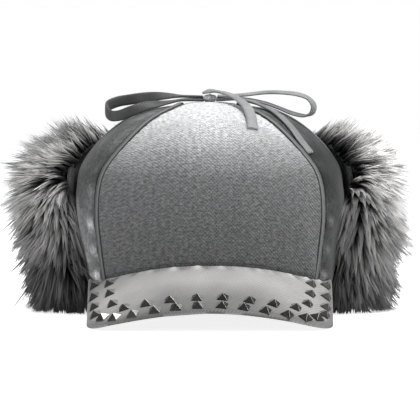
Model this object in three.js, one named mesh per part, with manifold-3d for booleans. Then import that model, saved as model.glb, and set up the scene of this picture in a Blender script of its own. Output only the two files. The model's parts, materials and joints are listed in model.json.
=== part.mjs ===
// A fur-trimmed winter cap: a three-panel crown, a studded peak, and fur-lined ear and neck flaps
// folded up round it, with the two ear-flap straps tied in a bow on top.
// Millimetres, +Z up, +X to the wearer's left, and the peak points along -Y.
// The cap is drawn with its rim at height 0 and its crown centred on the Z axis. The whole group is
// then set down, so that the origin is the middle of its footprint on the surface it rests on.
import * as THREE from "three";
import { mergeVertices } from "three/addons/utils/BufferGeometryUtils.js";
import Module from "manifold-3d";

const wasm = await Module();
wasm.setup();

// Crown
const crownHalfWidth = 98;
const crownFrontLength = 101;
const crownBackLength = 103;
const crownHeight = 131;
const crownWall = 3;
const crownSquareness = 2.4; // 2 is an ellipse, more is boxier
const rimRise = 15.5; // how far the rim arches up over the forehead
const sewnGap = 0.3; // between two pieces that are sewn together

// Piping in the two seams beside the centre panel
const pipingBead = 1.1; // radius of its round edge
const pipingLift = 0.3; // of the bead's underside above the panels
const pipingTape = 1.2; // thickness of the tape that is caught in the seam

// Peak
const peakReach = 69; // from the crown to the middle of the front edge
const peakHalfWidth = 85;
const peakTipAngle = 67; // how far round the crown the peak is sewn, in degrees
const peakTipWidth = 3;
const peakThickness = 3.4;
const peakSeamLift = 1.5; // how far the crown's edge laps the peak
const peakFrontDrop = 26.5; // from the seam to the front edge, in the middle
const peakCornerDrop = 12.5; // from the middle of the front edge to its corners

// Studs
const studSide = 7.2;
const studSkirt = 0.8;
const studHeight = 4;

// Flaps and their fur
const flapGap = 4.4; // between the crown and a folded flap, with room for the piping
const flapWall = 3;
const earFlapFront = 86; // degrees round the crown from the middle of the front
const earFlapBack = 139;
const earFlapHeight = 99;
const earFlapFrontShare = 0.86; // height of the front end as a share of the flap's height
const neckFlapHeight = 64;
const flapPartingWidth = 2; // between an ear flap and the neck flap, in degrees
const furSeat = 1.4; // between a flap and its fur
const furDepth = 30; // of the dense fur
const furEdgeDepth = 12; // of the dense fur at its edges
const furLockLength = 29;
const furLockWidth = 24;
const furLockThickness = 14;

// Straps and bow
const strapWidth = 8;
const strapThickness = 2;
const strapLie = 1.6; // from the crown to the middle of a strap that lies on it
const strapOverPiping = 3.7; // the same where it crosses the piping
const strapRise = { from: 0.55, to: 0.8 }; // share of its way where it rises over the piping
const strapTuck = 10; // how far a strap starts below the top of its flap
const strapAngle = 101; // degrees round the crown where it starts
const bandStep = 7; // length between two cross sections of a strap or loop
const knotLength = 10;
const knotWidth = 12;
const knotHeight = 5.8;
const strapBehindKnot = 11; // how far behind the middle of the knot the two straps meet

const degree = Math.PI / 180;

// Outline of the crown at rising heights, as shares of its height, half width and half lengths.
const crownSections = [
  { up: 0, side: 0.925, front: 0.985, back: 0.965 },
  { up: 0.18, side: 0.962, front: 1, back: 0.985 },
  { up: 0.4, side: 1, front: 0.995, back: 1 },
  { up: 0.6, side: 0.985, front: 0.95, back: 0.975 },
  { up: 0.73, side: 0.885, front: 0.87, back: 0.895 },
  { up: 0.85, side: 0.72, front: 0.73, back: 0.74 },
  { up: 0.94, side: 0.51, front: 0.53, back: 0.52 },
  { up: 0.985, side: 0.26, front: 0.28, back: 0.27 },
  { up: 1, side: 0, front: 0, back: 0 },
];

// Half width of the centre panel seen from above, from its front (-1) to its back (1),
// as shares of the crown's half lengths and half width.
const centrePanelEdge = [
  { along: -1.0, out: 2 },
  { along: -0.72, out: 1.2 },
  { along: -0.668, out: 0.84 },
  { along: -0.659, out: 0.775 },
  { along: -0.648, out: 0.7 },
  { along: -0.618, out: 0.61 },
  { along: -0.54, out: 0.5 },
  { along: -0.41, out: 0.355 },
  { along: -0.3, out: 0.285 },
  { along: -0.17, out: 0.24 },
  { along: 0, out: 0.225 },
  { along: 0.25, out: 0.225 },
  { along: 0.6, out: 0.27 },
  { along: 1, out: 0.36 },
  { along: 1.25, out: 0.41 },
];

// Smooth value of one column of a table at a place along its first column.
function readTable(rows, key, column, place) {
  let i = rows.findIndex((row) => row[key] >= place);
  if (i < 0) return rows[rows.length - 1][column];
  if (i === 0) return rows[0][column];
  const slope = (j) => {
    const before = rows[Math.max(j - 1, 0)];
    const after = rows[Math.min(j + 1, rows.length - 1)];
    return (after[column] - before[column]) / (after[key] - before[key]);
  };
  const [a, b] = [rows[i - 1], rows[i]];
  const span = b[key] - a[key];
  const t = (place - a[key]) / span;
  return (
    a[column] * (1 + 2 * t) * (1 - t) ** 2 +
    b[column] * (3 - 2 * t) * t ** 2 +
    slope(i - 1) * span * t * (1 - t) ** 2 -
    slope(i) * span * (1 - t) * t ** 2
  );
}

// The crown is round on top, so its sections are read by the angle of their height.
const roundSections = crownSections.map((row) => ({
  ...row,
  angle: Math.asin(row.up),
}));

// Half sizes of the crown's section at a height. grow is how far the surface stands out from the crown.
function sectionAt(height, grow = 0) {
  const up = THREE.MathUtils.clamp(height / (crownHeight + grow), 0, 1);
  const read = (column) => Math.max(readTable(roundSections, "angle", column, Math.asin(up)), 0);
  return {
    side: read("side") * (crownHalfWidth + grow),
    front: read("front") * (crownFrontLength + grow),
    back: read("back") * (crownBackLength + grow),
  };
}

const power = (value, exponent) => Math.sign(value) * Math.abs(value) ** exponent;

// A point on the crown at an angle from the middle of the front, in radians, and a height.
function crownPoint(angle, height, grow = 0) {
  const section = sectionAt(height, grow);
  const forward = power(Math.cos(angle), 2 / crownSquareness);
  const length = forward > 0 ? section.front : section.back;
  return new THREE.Vector3(
    section.side * power(Math.sin(angle), 2 / crownSquareness),
    -length * forward,
    height,
  );
}

// Below 0 inside the crown's outer surface and above 0 outside it.
function crownLevel(point, grow = 0) {
  if (point.z >= crownHeight + grow) return 1;
  const section = sectionAt(point.z, grow);
  const length = point.y < 0 ? section.front : section.back;
  const round = crownSquareness;
  return Math.abs(point.x / section.side) ** round + Math.abs(point.y / length) ** round - 1;
}

// Where a ray from inside the crown leaves it.
function leaveCrown(start, direction, grow = 0) {
  const place = (distance) => start.clone().addScaledVector(direction, distance);
  let [inside, outside] = [0, 3 * crownHeight];
  for (let step = 0; step < 40; step++) {
    const middle = (inside + outside) / 2;
    if (crownLevel(place(middle), grow) < 0) inside = middle;
    else outside = middle;
  }
  return place(inside);
}

// The top of the crown over a place in plan.
const crownTop = (x, y) => leaveCrown(new THREE.Vector3(x, y, crownHeight / 2), new THREE.Vector3(0, 0, 1));

function crownNormal(point) {
  const step = 0.5;
  const low = point.clone();
  low.z = Math.min(low.z, crownHeight - 2 * step);
  const slope = (axis) =>
    crownLevel(low.clone().addScaledVector(axis, step)) -
    crownLevel(low.clone().addScaledVector(axis, -step));
  const [x, y, z] = [new THREE.Vector3(1, 0, 0), new THREE.Vector3(0, 1, 0), new THREE.Vector3(0, 0, 1)];
  return new THREE.Vector3(slope(x), slope(y), slope(z)).normalize();
}

const rimHeight = (angle) => rimRise * Math.max(Math.cos(angle), 0) ** 3;

// Triangles that fill a ring of points.
function fillRing(ring) {
  const normal = new THREE.Vector3();
  ring.forEach((point, i) => normal.add(point.clone().cross(ring[(i + 1) % ring.length])));
  const turn = new THREE.Quaternion().setFromUnitVectors(normal.normalize(), new THREE.Vector3(0, 0, 1));
  const flat = ring.map((point) => point.clone().applyQuaternion(turn));
  return THREE.ShapeUtils.triangulateShape(
    flat.map(({ x, y }) => new THREE.Vector2(x, y)),
    [],
  );
}

// Closed mesh from rings of points: each ring is joined to the next, and the two ends are filled.
function meshOfRings(rings) {
  const count = rings[0].length;
  const positions = rings.flat().flatMap((point) => [point.x, point.y, point.z]);
  const faces = [];
  for (let i = 0; i + 1 < rings.length; i++)
    for (let j = 0; j < count; j++) {
      const [a, b] = [i * count + j, i * count + ((j + 1) % count)];
      faces.push(a, b, b + count, a, b + count, a + count);
    }
  const last = (rings.length - 1) * count;
  for (const [a, b, c] of fillRing(rings[0])) faces.push(a, c, b);
  for (const [a, b, c] of fillRing(rings[rings.length - 1])) faces.push(last + a, last + b, last + c);
  return new THREE.BufferGeometry()
    .setAttribute("position", new THREE.Float32BufferAttribute(positions, 3))
    .setIndex(faces);
}

// Closed slab between two sheets of points, each a list of rows, with the first sheet outside.
function slab(outer, inner) {
  const last = outer[0].length - 1;
  return meshOfRings(outer.map((row, i) => [...row, ...inner[i].slice(0, last + 1).reverse()]));
}

// Mesh to solid and back, for joining and cutting.
function solidOf(geometry) {
  const bare = geometry.clone();
  Object.keys(bare.attributes).forEach((name) => name === "position" || bare.deleteAttribute(name));
  const merged = mergeVertices(bare, 1e-4);
  const made = new wasm.Manifold(
    new wasm.Mesh({
      numProp: 3,
      vertProperties: merged.attributes.position.array,
      triVerts: new Uint32Array(merged.index.array),
    }),
  );
  return made;
}

function geometryOf(solid) {
  const bodies = solid.decompose().sort((a, b) => b.volume() - a.volume());
  const mesh = bodies[0].simplify(sewnGap / 4).getMesh();
  return new THREE.BufferGeometry()
    .setAttribute("position", new THREE.Float32BufferAttribute(mesh.vertProperties, 3))
    .setIndex(new THREE.BufferAttribute(mesh.triVerts, 1));
}

// Mirror image across the middle of the cap.
function mirrored(geometry) {
  const twin = geometry.clone().scale(-1, 1, 1);
  const index = twin.index.array;
  for (let i = 0; i < index.length; i += 3) [index[i + 1], index[i + 2]] = [index[i + 2], index[i + 1]];
  return twin;
}

// Sweeps a section, a list of { out, across }, along frames with a place and those two directions.
function sweep(section, frames) {
  return meshOfRings(
    frames.map(({ place, out, across }) =>
      section.map((corner) =>
        place.clone().addScaledVector(out, corner.out).addScaledVector(across, corner.across),
      ),
    ),
  );
}

// Each place on a path with its outward direction and the direction across it.
function framesAlong(places, outwards) {
  return places.map((place, i) => {
    const before = places[Math.max(i - 1, 0)];
    const after = places[Math.min(i + 1, places.length - 1)];
    const along = after.clone().sub(before).normalize();
    const across = along.clone().cross(outwards[i]).normalize();
    return { place, out: across.clone().cross(along).normalize(), across };
  });
}

const fabric = (color, roughness = 0.9) => new THREE.MeshStandardMaterial({ color, roughness, metalness: 0 });
const crownCloth = fabric(0x8f8c89);
const sideCloth = fabric(0x6d6a68);
const peakCloth = fabric(0xaaa7a4, 0.75);
const pipingCloth = fabric(0x5c5a58);
const flapCloth = fabric(0x5f5d5b);
const furPile = fabric(0x7b7976, 0.95);
const strapCloth = fabric(0x7d7c7b, 0.6);
const studMetal = new THREE.MeshStandardMaterial({ color: 0x55544c, roughness: 0.35, metalness: 1 });

const cap = new THREE.Group();

function addPiece(name, geometry, material, parent = cap) {
  const mesh = new THREE.Mesh(geometry, material);
  mesh.name = name;
  parent.add(mesh);
  return mesh;
}

// Solid dome of the crown's shape. foot gives the height of its lower edge at each angle.
function dome(grow, foot, columns = 40, rows = 9) {
  const top = crownHeight + grow;
  const almostTop = 0.97;
  const rings = [];
  for (let i = 0; i <= rows; i++) {
    const ring = [];
    for (let j = 0; j < columns; j++) {
      const angle = (j / columns) * 2 * Math.PI;
      const low = Math.asin(Math.max(foot(angle), 0) / top);
      const rise = low + (Math.PI / 2 - low) * almostTop * (i / rows);
      ring.push(crownPoint(angle, i ? top * Math.sin(rise) : foot(angle), grow));
    }
    rings.push(ring);
  }
  return meshOfRings(rings);
}

// A frame moved along its path.
function moved({ place, out, across }, distance) {
  const along = out.clone().cross(across);
  return { place: place.clone().addScaledVector(along, distance), out, across };
}

// Seam between the centre panel and the side panel at +X, from the front rim over the top to the back.
function seamPlaces() {
  const core = crownHeight * 0.3;
  const edge = (y) => {
    const along = y / (y < 0 ? crownFrontLength : crownBackLength);
    return crownHalfWidth * readTable(centrePanelEdge, "along", "out", along);
  };
  const place = (angle) => {
    const forward = new THREE.Vector3(0, -Math.cos(angle), Math.sin(angle));
    let [inside, outside] = [0, 2 * crownHeight];
    const at = (distance) => {
      const point = new THREE.Vector3(0, 0, core).addScaledVector(forward, distance);
      point.x = edge(point.y);
      return point;
    };
    for (let step = 0; step < 40; step++) {
      const middle = (inside + outside) / 2;
      if (crownLevel(at(middle)) < 0) inside = middle;
      else outside = middle;
    }
    return at(inside);
  };
  const angleOfRim = (low, high) => {
    for (let step = 0; step < 30; step++) {
      const middle = (low + high) / 2;
      const point = place(middle);
      if (point.z > rimHeight(Math.atan2(point.x, -point.y))) low = middle;
      else high = middle;
    }
    return low;
  };
  const [first, last] = [angleOfRim(Math.PI / 2, -Math.PI / 2), angleOfRim(Math.PI / 2, (3 * Math.PI) / 2)];
  const steps = 36;
  return Array.from({ length: steps + 1 }, (_, i) => place(first + ((last - first) * i) / steps));
}

// Crown: one shell, cut into a centre panel and two side panels along slots for the piping.
function addCrown() {
  const deepFoot = () => -2 * crownWall;
  const shell = solidOf(dome(0, rimHeight)).subtract(solidOf(dome(-crownWall, deepFoot)));
  const outline = new THREE.Shape();
  const steps = 36;
  const start = centrePanelEdge[0].along * crownFrontLength;
  const end = centrePanelEdge[centrePanelEdge.length - 1].along * crownBackLength;
  const edge = Array.from({ length: steps + 1 }, (_, i) => {
    const y = start + ((end - start) * i) / steps;
    const along = y / (y < 0 ? crownFrontLength : crownBackLength);
    return new THREE.Vector2(crownHalfWidth * readTable(centrePanelEdge, "along", "out", along), y);
  });
  const front = new THREE.Vector2(edge[0].x, edge[0].y - crownFrontLength);
  outline.setFromPoints([
    front,
    ...edge,
    ...edge.map((point) => new THREE.Vector2(-point.x, point.y)).reverse(),
    new THREE.Vector2(-front.x, front.y),
  ]);
  const strip = new THREE.ExtrudeGeometry(outline, { depth: 2 * crownHeight, bevelEnabled: false });
  strip.translate(0, 0, -crownHeight / 2);
  const stripSolid = solidOf(strip);
  const slotHalf = pipingTape / 2 + sewnGap;
  const slotDepth = 3 * crownWall;
  const slotSection = [
    { out: -slotDepth, across: -slotHalf },
    { out: slotDepth, across: -slotHalf },
    { out: slotDepth, across: slotHalf },
    { out: -slotDepth, across: slotHalf },
  ];
  const places = seamPlaces();
  const frames = framesAlong(places, places.map(crownNormal));
  const overrun = 4 * crownWall;
  const slot = sweep(slotSection, [
    moved(frames[0], -overrun),
    ...frames,
    moved(frames[frames.length - 1], overrun),
  ]);
  const slots = solidOf(slot).add(solidOf(mirrored(slot)));
  const right = new THREE.BoxGeometry(4 * crownHalfWidth, 8 * crownHalfWidth, 8 * crownHalfWidth);
  right.translate(2 * crownHalfWidth, 0, 0);
  const centre = geometryOf(shell.intersect(stripSolid).subtract(slots));
  const side = geometryOf(shell.subtract(stripSolid).subtract(slots).intersect(solidOf(right)));
  addPiece("crown_centre_panel", centre, crownCloth);
  addPiece("crown_side_panel_left", mirrored(side), sideCloth);
  addPiece("crown_side_panel_right", side, sideCloth);
  const shortened = moved(frames[0], peakSeamLift + 2 * sewnGap);
  const ended = moved(frames[frames.length - 1], -3 * sewnGap);
  const piping = sweep(pipingSection(), [shortened, ...frames.slice(1, -1), ended]);
  addPiece("seam_piping_left", mirrored(piping), pipingCloth);
  addPiece("seam_piping_right", piping, pipingCloth);
}

// A round bead that sits on the panels, with a tape that runs down between them.
function pipingSection() {
  const middle = pipingBead + pipingLift;
  const corners = [];
  const sides = 6;
  for (let i = 0; i < sides - 1; i++) {
    const angle = (-90 + (360 / sides) * (i + 1)) * degree;
    corners.push({ out: middle + pipingBead * Math.sin(angle), across: -pipingBead * Math.cos(angle) });
  }
  const foot = sewnGap - crownWall;
  const tape = pipingTape / 2;
  return [
    { out: pipingLift, across: -tape },
    ...corners,
    { out: pipingLift, across: tape },
    { out: foot, across: tape },
    { out: foot, across: -tape },
  ];
}

// Peak: a board covered in cloth, ruled from the seam on the crown to its outline.
const peakTip = crownPoint(peakTipAngle * degree, rimHeight(peakTipAngle * degree), sewnGap);

// Places on the peak's outline: out is a share of its half width and ahead a share of its reach.
const peakPlaces = {
  frontPull: { out: 0.42, ahead: 1 },
  frontEase: { out: 0.62, ahead: 0.95 },
  beforeCorner: { out: 0.8, ahead: 0.86 },
  corner: { out: 0.995, ahead: 0.7 },
  afterCorner: { out: 1, ahead: 0.55 },
};

// Half outline of the peak seen from above, from the middle of the front to the tip at +X.
const peakOutline = new THREE.CurvePath();
{
  const at = ({ out, ahead }) =>
    new THREE.Vector2(peakHalfWidth * out, -(crownFrontLength + peakReach * ahead));
  const tip = new THREE.Vector2(peakTip.x + peakTipWidth, peakTip.y);
  const middle = at({ out: 0, ahead: 1 });
  const frontPull = at(peakPlaces.frontPull);
  const frontEase = at(peakPlaces.frontEase);
  const beforeCorner = at(peakPlaces.beforeCorner);
  const afterCorner = at(peakPlaces.afterCorner);
  const aim = beforeCorner.clone().sub(frontEase);
  const cornerX = peakHalfWidth * peakPlaces.corner.out;
  const corner = new THREE.Vector2(
    cornerX,
    beforeCorner.y + ((cornerX - beforeCorner.x) * aim.y) / aim.x,
  );
  peakOutline.add(new THREE.CubicBezierCurve(middle, frontPull, frontEase, beforeCorner));
  peakOutline.add(new THREE.QuadraticBezierCurve(beforeCorner, corner, afterCorner));
  const sideEase = new THREE.Vector2(peakHalfWidth + peakTipWidth / 2, (afterCorner.y + tip.y) / 2);
  peakOutline.add(new THREE.QuadraticBezierCurve(afterCorner, sideEase, tip));
}

// Height of the peak's upper face at its outline: it falls towards the front and arches across.
function peakEdgeHeight(x, y) {
  const seam = rimHeight(0) + peakSeamLift;
  const tipHeight = peakTip.z + peakSeamLift;
  const front = -(crownFrontLength + peakReach);
  const cornerY = -(crownFrontLength + peakReach * peakPlaces.corner.ahead);
  const frontHeight = seam - peakFrontDrop;
  const cornerHeight = frontHeight - peakCornerDrop;
  const tipX = peakTip.x + peakTipWidth;
  const rows = [
    [cornerY - front, peakHalfWidth ** 2, cornerHeight - frontHeight],
    [peakTip.y - front, tipX ** 2, tipHeight - frontHeight],
  ];
  const whole = rows[0][0] * rows[1][1] - rows[1][0] * rows[0][1];
  const slope = (rows[0][2] * rows[1][1] - rows[1][2] * rows[0][1]) / whole;
  const arch = (rows[0][0] * rows[1][2] - rows[1][0] * rows[0][2]) / whole;
  return frontHeight + slope * (y - front) + arch * x ** 2;
}

// A point on the peak's upper face: across runs from -1 to 1 and forward from the seam (0) to the edge (1).
function peakPoint(across, forward) {
  const angle = across * peakTipAngle * degree;
  const seam = crownPoint(angle, rimHeight(angle), sewnGap);
  seam.z = rimHeight(angle) + peakSeamLift;
  const rim = peakOutline.getPointAt(Math.abs(across));
  const x = Math.sign(across) * rim.x;
  const edge = new THREE.Vector3(x, rim.y, peakEdgeHeight(rim.x, rim.y));
  return seam.lerp(edge, forward);
}

// Level of the surface that the cap rests on, under the corners of the peak.
const edgeBottoms = peakOutline.getSpacedPoints(100).map(({ x, y }) => peakEdgeHeight(x, y) - peakThickness);
const restLevel = Math.min(...edgeBottoms);

function addPeak() {
  const [columns, rows] = [40, 3];
  const upper = [];
  const lower = [];
  for (let i = 0; i <= columns; i++) {
    const across = (2 * i) / columns - 1;
    const row = Array.from({ length: rows + 1 }, (_, j) => peakPoint(across, j / rows));
    upper.push(row);
    lower.push(row.map((point) => point.clone().setZ(point.z - peakThickness)));
  }
  addPiece("peak", slab(upper, lower), peakCloth);
}

// The place on the peak's upper face over a place in plan.
function onPeak(x, y) {
  const beyondRay = (across) => {
    const [seam, edge] = [peakPoint(across, 0), peakPoint(across, 1)];
    return (edge.x - seam.x) * (y - seam.y) - (edge.y - seam.y) * (x - seam.x) < 0;
  };
  let [low, high] = [-1, 1];
  for (let step = 0; step < 24; step++) {
    const middle = (low + high) / 2;
    if (beyondRay(middle)) high = middle;
    else low = middle;
  }
  const [seam, edge] = [peakPoint(low, 0), peakPoint(low, 1)];
  const reach = Math.hypot(edge.x - seam.x, edge.y - seam.y);
  return seam.clone().lerp(edge, Math.hypot(x - seam.x, y - seam.y) / reach);
}

// Stud places from the middle of the front towards one tip: how far along the half outline, as a share
// of it, and how far in from it.
const studRows = [
  {
    name: "outer",
    places: [
      { along: 0.043, inset: 7.6 },
      { along: 0.122, inset: 6.9 },
      { along: 0.2, inset: 5.6 },
      { along: 0.282, inset: 5 },
      { along: 0.356, inset: 5.8 },
      { along: 0.433, inset: 8.4 },
      { along: 0.528, inset: 6.4 },
      { along: 0.614, inset: 5.6 },
      { along: 0.735, inset: 5 },
      { along: 0.866, inset: 5 },
    ],
  },
  {
    name: "inner",
    places: [
      { along: 0.047, inset: 18.6 },
      { along: 0.148, inset: 17.4 },
      { along: 0.244, inset: 16.6 },
      { along: 0.342, inset: 17.6 },
      { along: 0.552, inset: 18.2 },
      { along: 0.663, inset: 16.2 },
      { along: 0.782, inset: 15.6 },
    ],
  },
];

function addStuds() {
  const corner = studSide / Math.SQRT2;
  const profile = [
    [0, 0],
    [corner, 0],
    [corner, studSkirt],
    [0, studHeight],
  ].map(([r, z]) => new THREE.Vector2(r, z));
  const shape = new THREE.LatheGeometry(profile, 4, 45 * degree).rotateX(90 * degree);
  const step = 0.5;
  for (const { name, places } of studRows)
    for (const hand of [-1, 1])
      places.forEach(({ along, inset }, i) => {
        const edge = peakOutline.getPointAt(along);
        const tangent = peakOutline.getTangentAt(along);
        const x = hand * (edge.x - tangent.y * inset);
        const y = edge.y + tangent.x * inset;
        const sideways = onPeak(x + step, y).sub(onPeak(x - step, y)).normalize();
        const back = onPeak(x, y + step).sub(onPeak(x, y - step));
        const out = sideways.clone().cross(back).normalize();
        const side = hand < 0 ? "left" : "right";
        const stud = addPiece(`stud_${name}_${side}_${i + 1}`, shape, studMetal);
        stud.position.copy(onPeak(x, y)).addScaledVector(out, sewnGap);
        stud.quaternion.setFromRotationMatrix(
          new THREE.Matrix4().makeBasis(sideways, out.clone().cross(sideways), out),
        );
      });
}

// Flaps: each folds out under the rim and up against the crown.
const earSpan = { from: earFlapFront * degree, to: earFlapBack * degree };
const neckSpan = {
  from: (earFlapBack + flapPartingWidth) * degree,
  to: (360 - earFlapBack - flapPartingWidth) * degree,
};
const earTop = (share) => {
  const rise = Math.sin(Math.min(share * 2.2, 1) * (Math.PI / 2));
  return earFlapHeight * (earFlapFrontShare + (1 - earFlapFrontShare) * rise);
};
const neckTop = () => neckFlapHeight;

function flapPlate(span, top, columns) {
  const [near, far] = [flapGap, flapGap + flapWall];
  const fold = -sewnGap;
  const rises = [0, 0.2, 0.4, 0.6, 0.8, 0.9, 1];
  const outer = [];
  const inner = [];
  for (let i = 0; i <= columns; i++) {
    const share = i / columns;
    const angle = span.from + (span.to - span.from) * share;
    const height = top(share);
    inner.push([
      crownPoint(angle, 0, -crownWall).setZ(fold),
      crownPoint(angle, 0, near).setZ(fold),
      ...rises.slice(1).map((rise) => crownPoint(angle, rise * height, near)),
    ]);
    outer.push([
      crownPoint(angle, 0, -crownWall).setZ(fold - flapWall),
      crownPoint(angle, 0, far).setZ(fold - flapWall),
      ...rises.slice(1).map((rise) => crownPoint(angle, rise * height, far)),
    ]);
  }
  return slab(inner, outer);
}

// Repeatable scatter from 0 to 1.
function scatter(seed) {
  const wave = Math.sin(seed * 127.1 + 311.7) * 43758.5453;
  return wave - Math.floor(wave);
}

// Cross sections of a lock from root to tip: forward and fall are shares of its length, and size is a
// share of its width.
const lockSections = [
  { forward: -0.25, fall: 0, size: 0.9 },
  { forward: 0.45, fall: 0.06, size: 0.8 },
  { forward: 1, fall: 0.35, size: 0.06 },
];

// How the locks lie: they stand out of the pad, spread at its ends and rise towards its top.
const lockLie = { away: 0.7, sideways: 0.9, liftAtFoot: -0.75, liftAtTop: 0.95, droopBelow: 0.75 };

// A lock of fur: a flat, bent taper with four sides.
function furLock(root, heading, droop, length) {
  const side = heading.clone().cross(droop).normalize();
  const over = side.clone().cross(heading).normalize();
  const ring = ({ forward, fall, size }) => {
    const middle = root.clone().addScaledVector(heading, length * forward);
    middle.addScaledVector(droop, length * fall);
    const [thick, wide] = [(size * furLockThickness) / 2, (size * furLockWidth) / 2];
    return [
      middle.clone().addScaledVector(over, thick),
      middle.clone().addScaledVector(side, wide),
      middle.clone().addScaledVector(over, -thick),
      middle.clone().addScaledVector(side, -wide),
    ];
  };
  return meshOfRings(lockSections.map(ring));
}

// Fur on a flap: a dense pad with locks that stand out of it, cut flat underneath.
function furPad(span, top, columns, lockColumns, lockRows) {
  const seat = flapGap + flapWall + furSeat;
  const foot = restLevel;
  const rows = 5;
  const depthAt = (share, rise) => {
    const ends = Math.sin(Math.PI * THREE.MathUtils.clamp(share, 0.01, 0.99)) ** 0.5;
    const upper = Math.cos((Math.PI / 2) * rise ** 5);
    return furEdgeDepth + (furDepth - furEdgeDepth) * ends * upper;
  };
  const place = (share, rise, grow) => {
    const angle = span.from + (span.to - span.from) * share;
    const low = foot - 2;
    const height = low + (top(share) + furEdgeDepth / 2 - low) * rise;
    return crownPoint(angle, Math.max(height, 0), grow).setZ(height);
  };
  const outer = [];
  const inner = [];
  for (let i = 0; i <= columns; i++) {
    const share = i / columns;
    const rises = Array.from({ length: rows + 1 }, (_, j) => j / rows);
    outer.push(rises.map((rise) => place(share, rise, seat + depthAt(share, rise))));
    inner.push(rises.map((rise) => place(share, rise, seat - flapWall)));
  }
  let fur = solidOf(slab(inner, outer));
  for (let i = 0; i < lockColumns; i++)
    for (let j = 0; j < lockRows; j++) {
      const seed = 1 + i * 17 + j * 5;
      const stagger = j % 2 ? 0.25 : -0.25;
      const share = (i + 0.5 + stagger + 0.3 * (scatter(seed) - 0.5)) / lockColumns;
      const rise = 0.05 + (0.95 * (j + 0.5 + 0.4 * (scatter(seed + 1) - 0.5))) / lockRows;
      const depth = depthAt(share, rise);
      const root = place(share, rise, seat + depth * 0.75);
      const away = place(share, rise, seat + depth).sub(place(share, rise, seat)).normalize();
      const end = 2 * share - 1;
      const sideways = place(share + 0.01, rise, seat).sub(place(share - 0.01, rise, seat)).normalize();
      const heading = away.clone().multiplyScalar(lockLie.away);
      heading.addScaledVector(sideways, lockLie.sideways * end ** 3);
      heading.z += THREE.MathUtils.lerp(lockLie.liftAtFoot, lockLie.liftAtTop, rise);
      const droop = new THREE.Vector3(0, 0, -1);
      if (rise >= lockLie.droopBelow) droop.multiplyScalar(0.3).addScaledVector(away, 0.6);
      const length = furLockLength * (0.75 + 0.4 * scatter(seed + 2));
      fur = fur.add(solidOf(furLock(root, heading.normalize(), droop, length)));
    }
  return fur.subtract(solidOf(dome(seat, () => foot - furLockLength * 2)));
}

// A half space as a large box: everything beyond a plane through a place, along a direction.
function beyond(place, direction) {
  const size = 12 * crownHalfWidth;
  const box = new THREE.BoxGeometry(size, size, size).translate(0, 0, size / 2);
  const turn = new THREE.Quaternion().setFromUnitVectors(new THREE.Vector3(0, 0, 1), direction);
  return solidOf(box.applyQuaternion(turn).translate(place.x, place.y, place.z));
}

function addFlaps() {
  const down = new THREE.Vector3(0, 0, -1);
  const floor = beyond(new THREE.Vector3(0, 0, restLevel), down);
  const parting = crownPoint(earSpan.to + (flapPartingWidth / 2) * degree, 0);
  parting.z = 0;
  const radial = parting.clone().normalize();
  const acrossParting = new THREE.Vector3(-radial.y, radial.x, 0);
  const halfGap = acrossParting.clone().multiplyScalar(sewnGap);
  const behind = beyond(parting.clone().sub(halfGap), acrossParting);
  const before = beyond(parting.clone().add(halfGap), acrossParting.clone().negate());
  const ear = geometryOf(furPad(earSpan, earTop, 8, 5, 6).subtract(behind).subtract(floor));
  addPiece("ear_flap_left", mirrored(flapPlate(earSpan, earTop, 8)), flapCloth);
  addPiece("ear_flap_right", flapPlate(earSpan, earTop, 8), flapCloth);
  addPiece("ear_fur_left", mirrored(ear), furPile);
  addPiece("ear_fur_right", ear, furPile);
  const beforeLeft = solidOf(mirrored(geometryOf(before)));
  const neck = furPad(neckSpan, neckTop, 10, 7, 3).subtract(before).subtract(beforeLeft).subtract(floor);
  addPiece("neck_flap", flapPlate(neckSpan, neckTop, 12), flapCloth);
  addPiece("neck_fur", geometryOf(neck), furPile);
}

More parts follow.
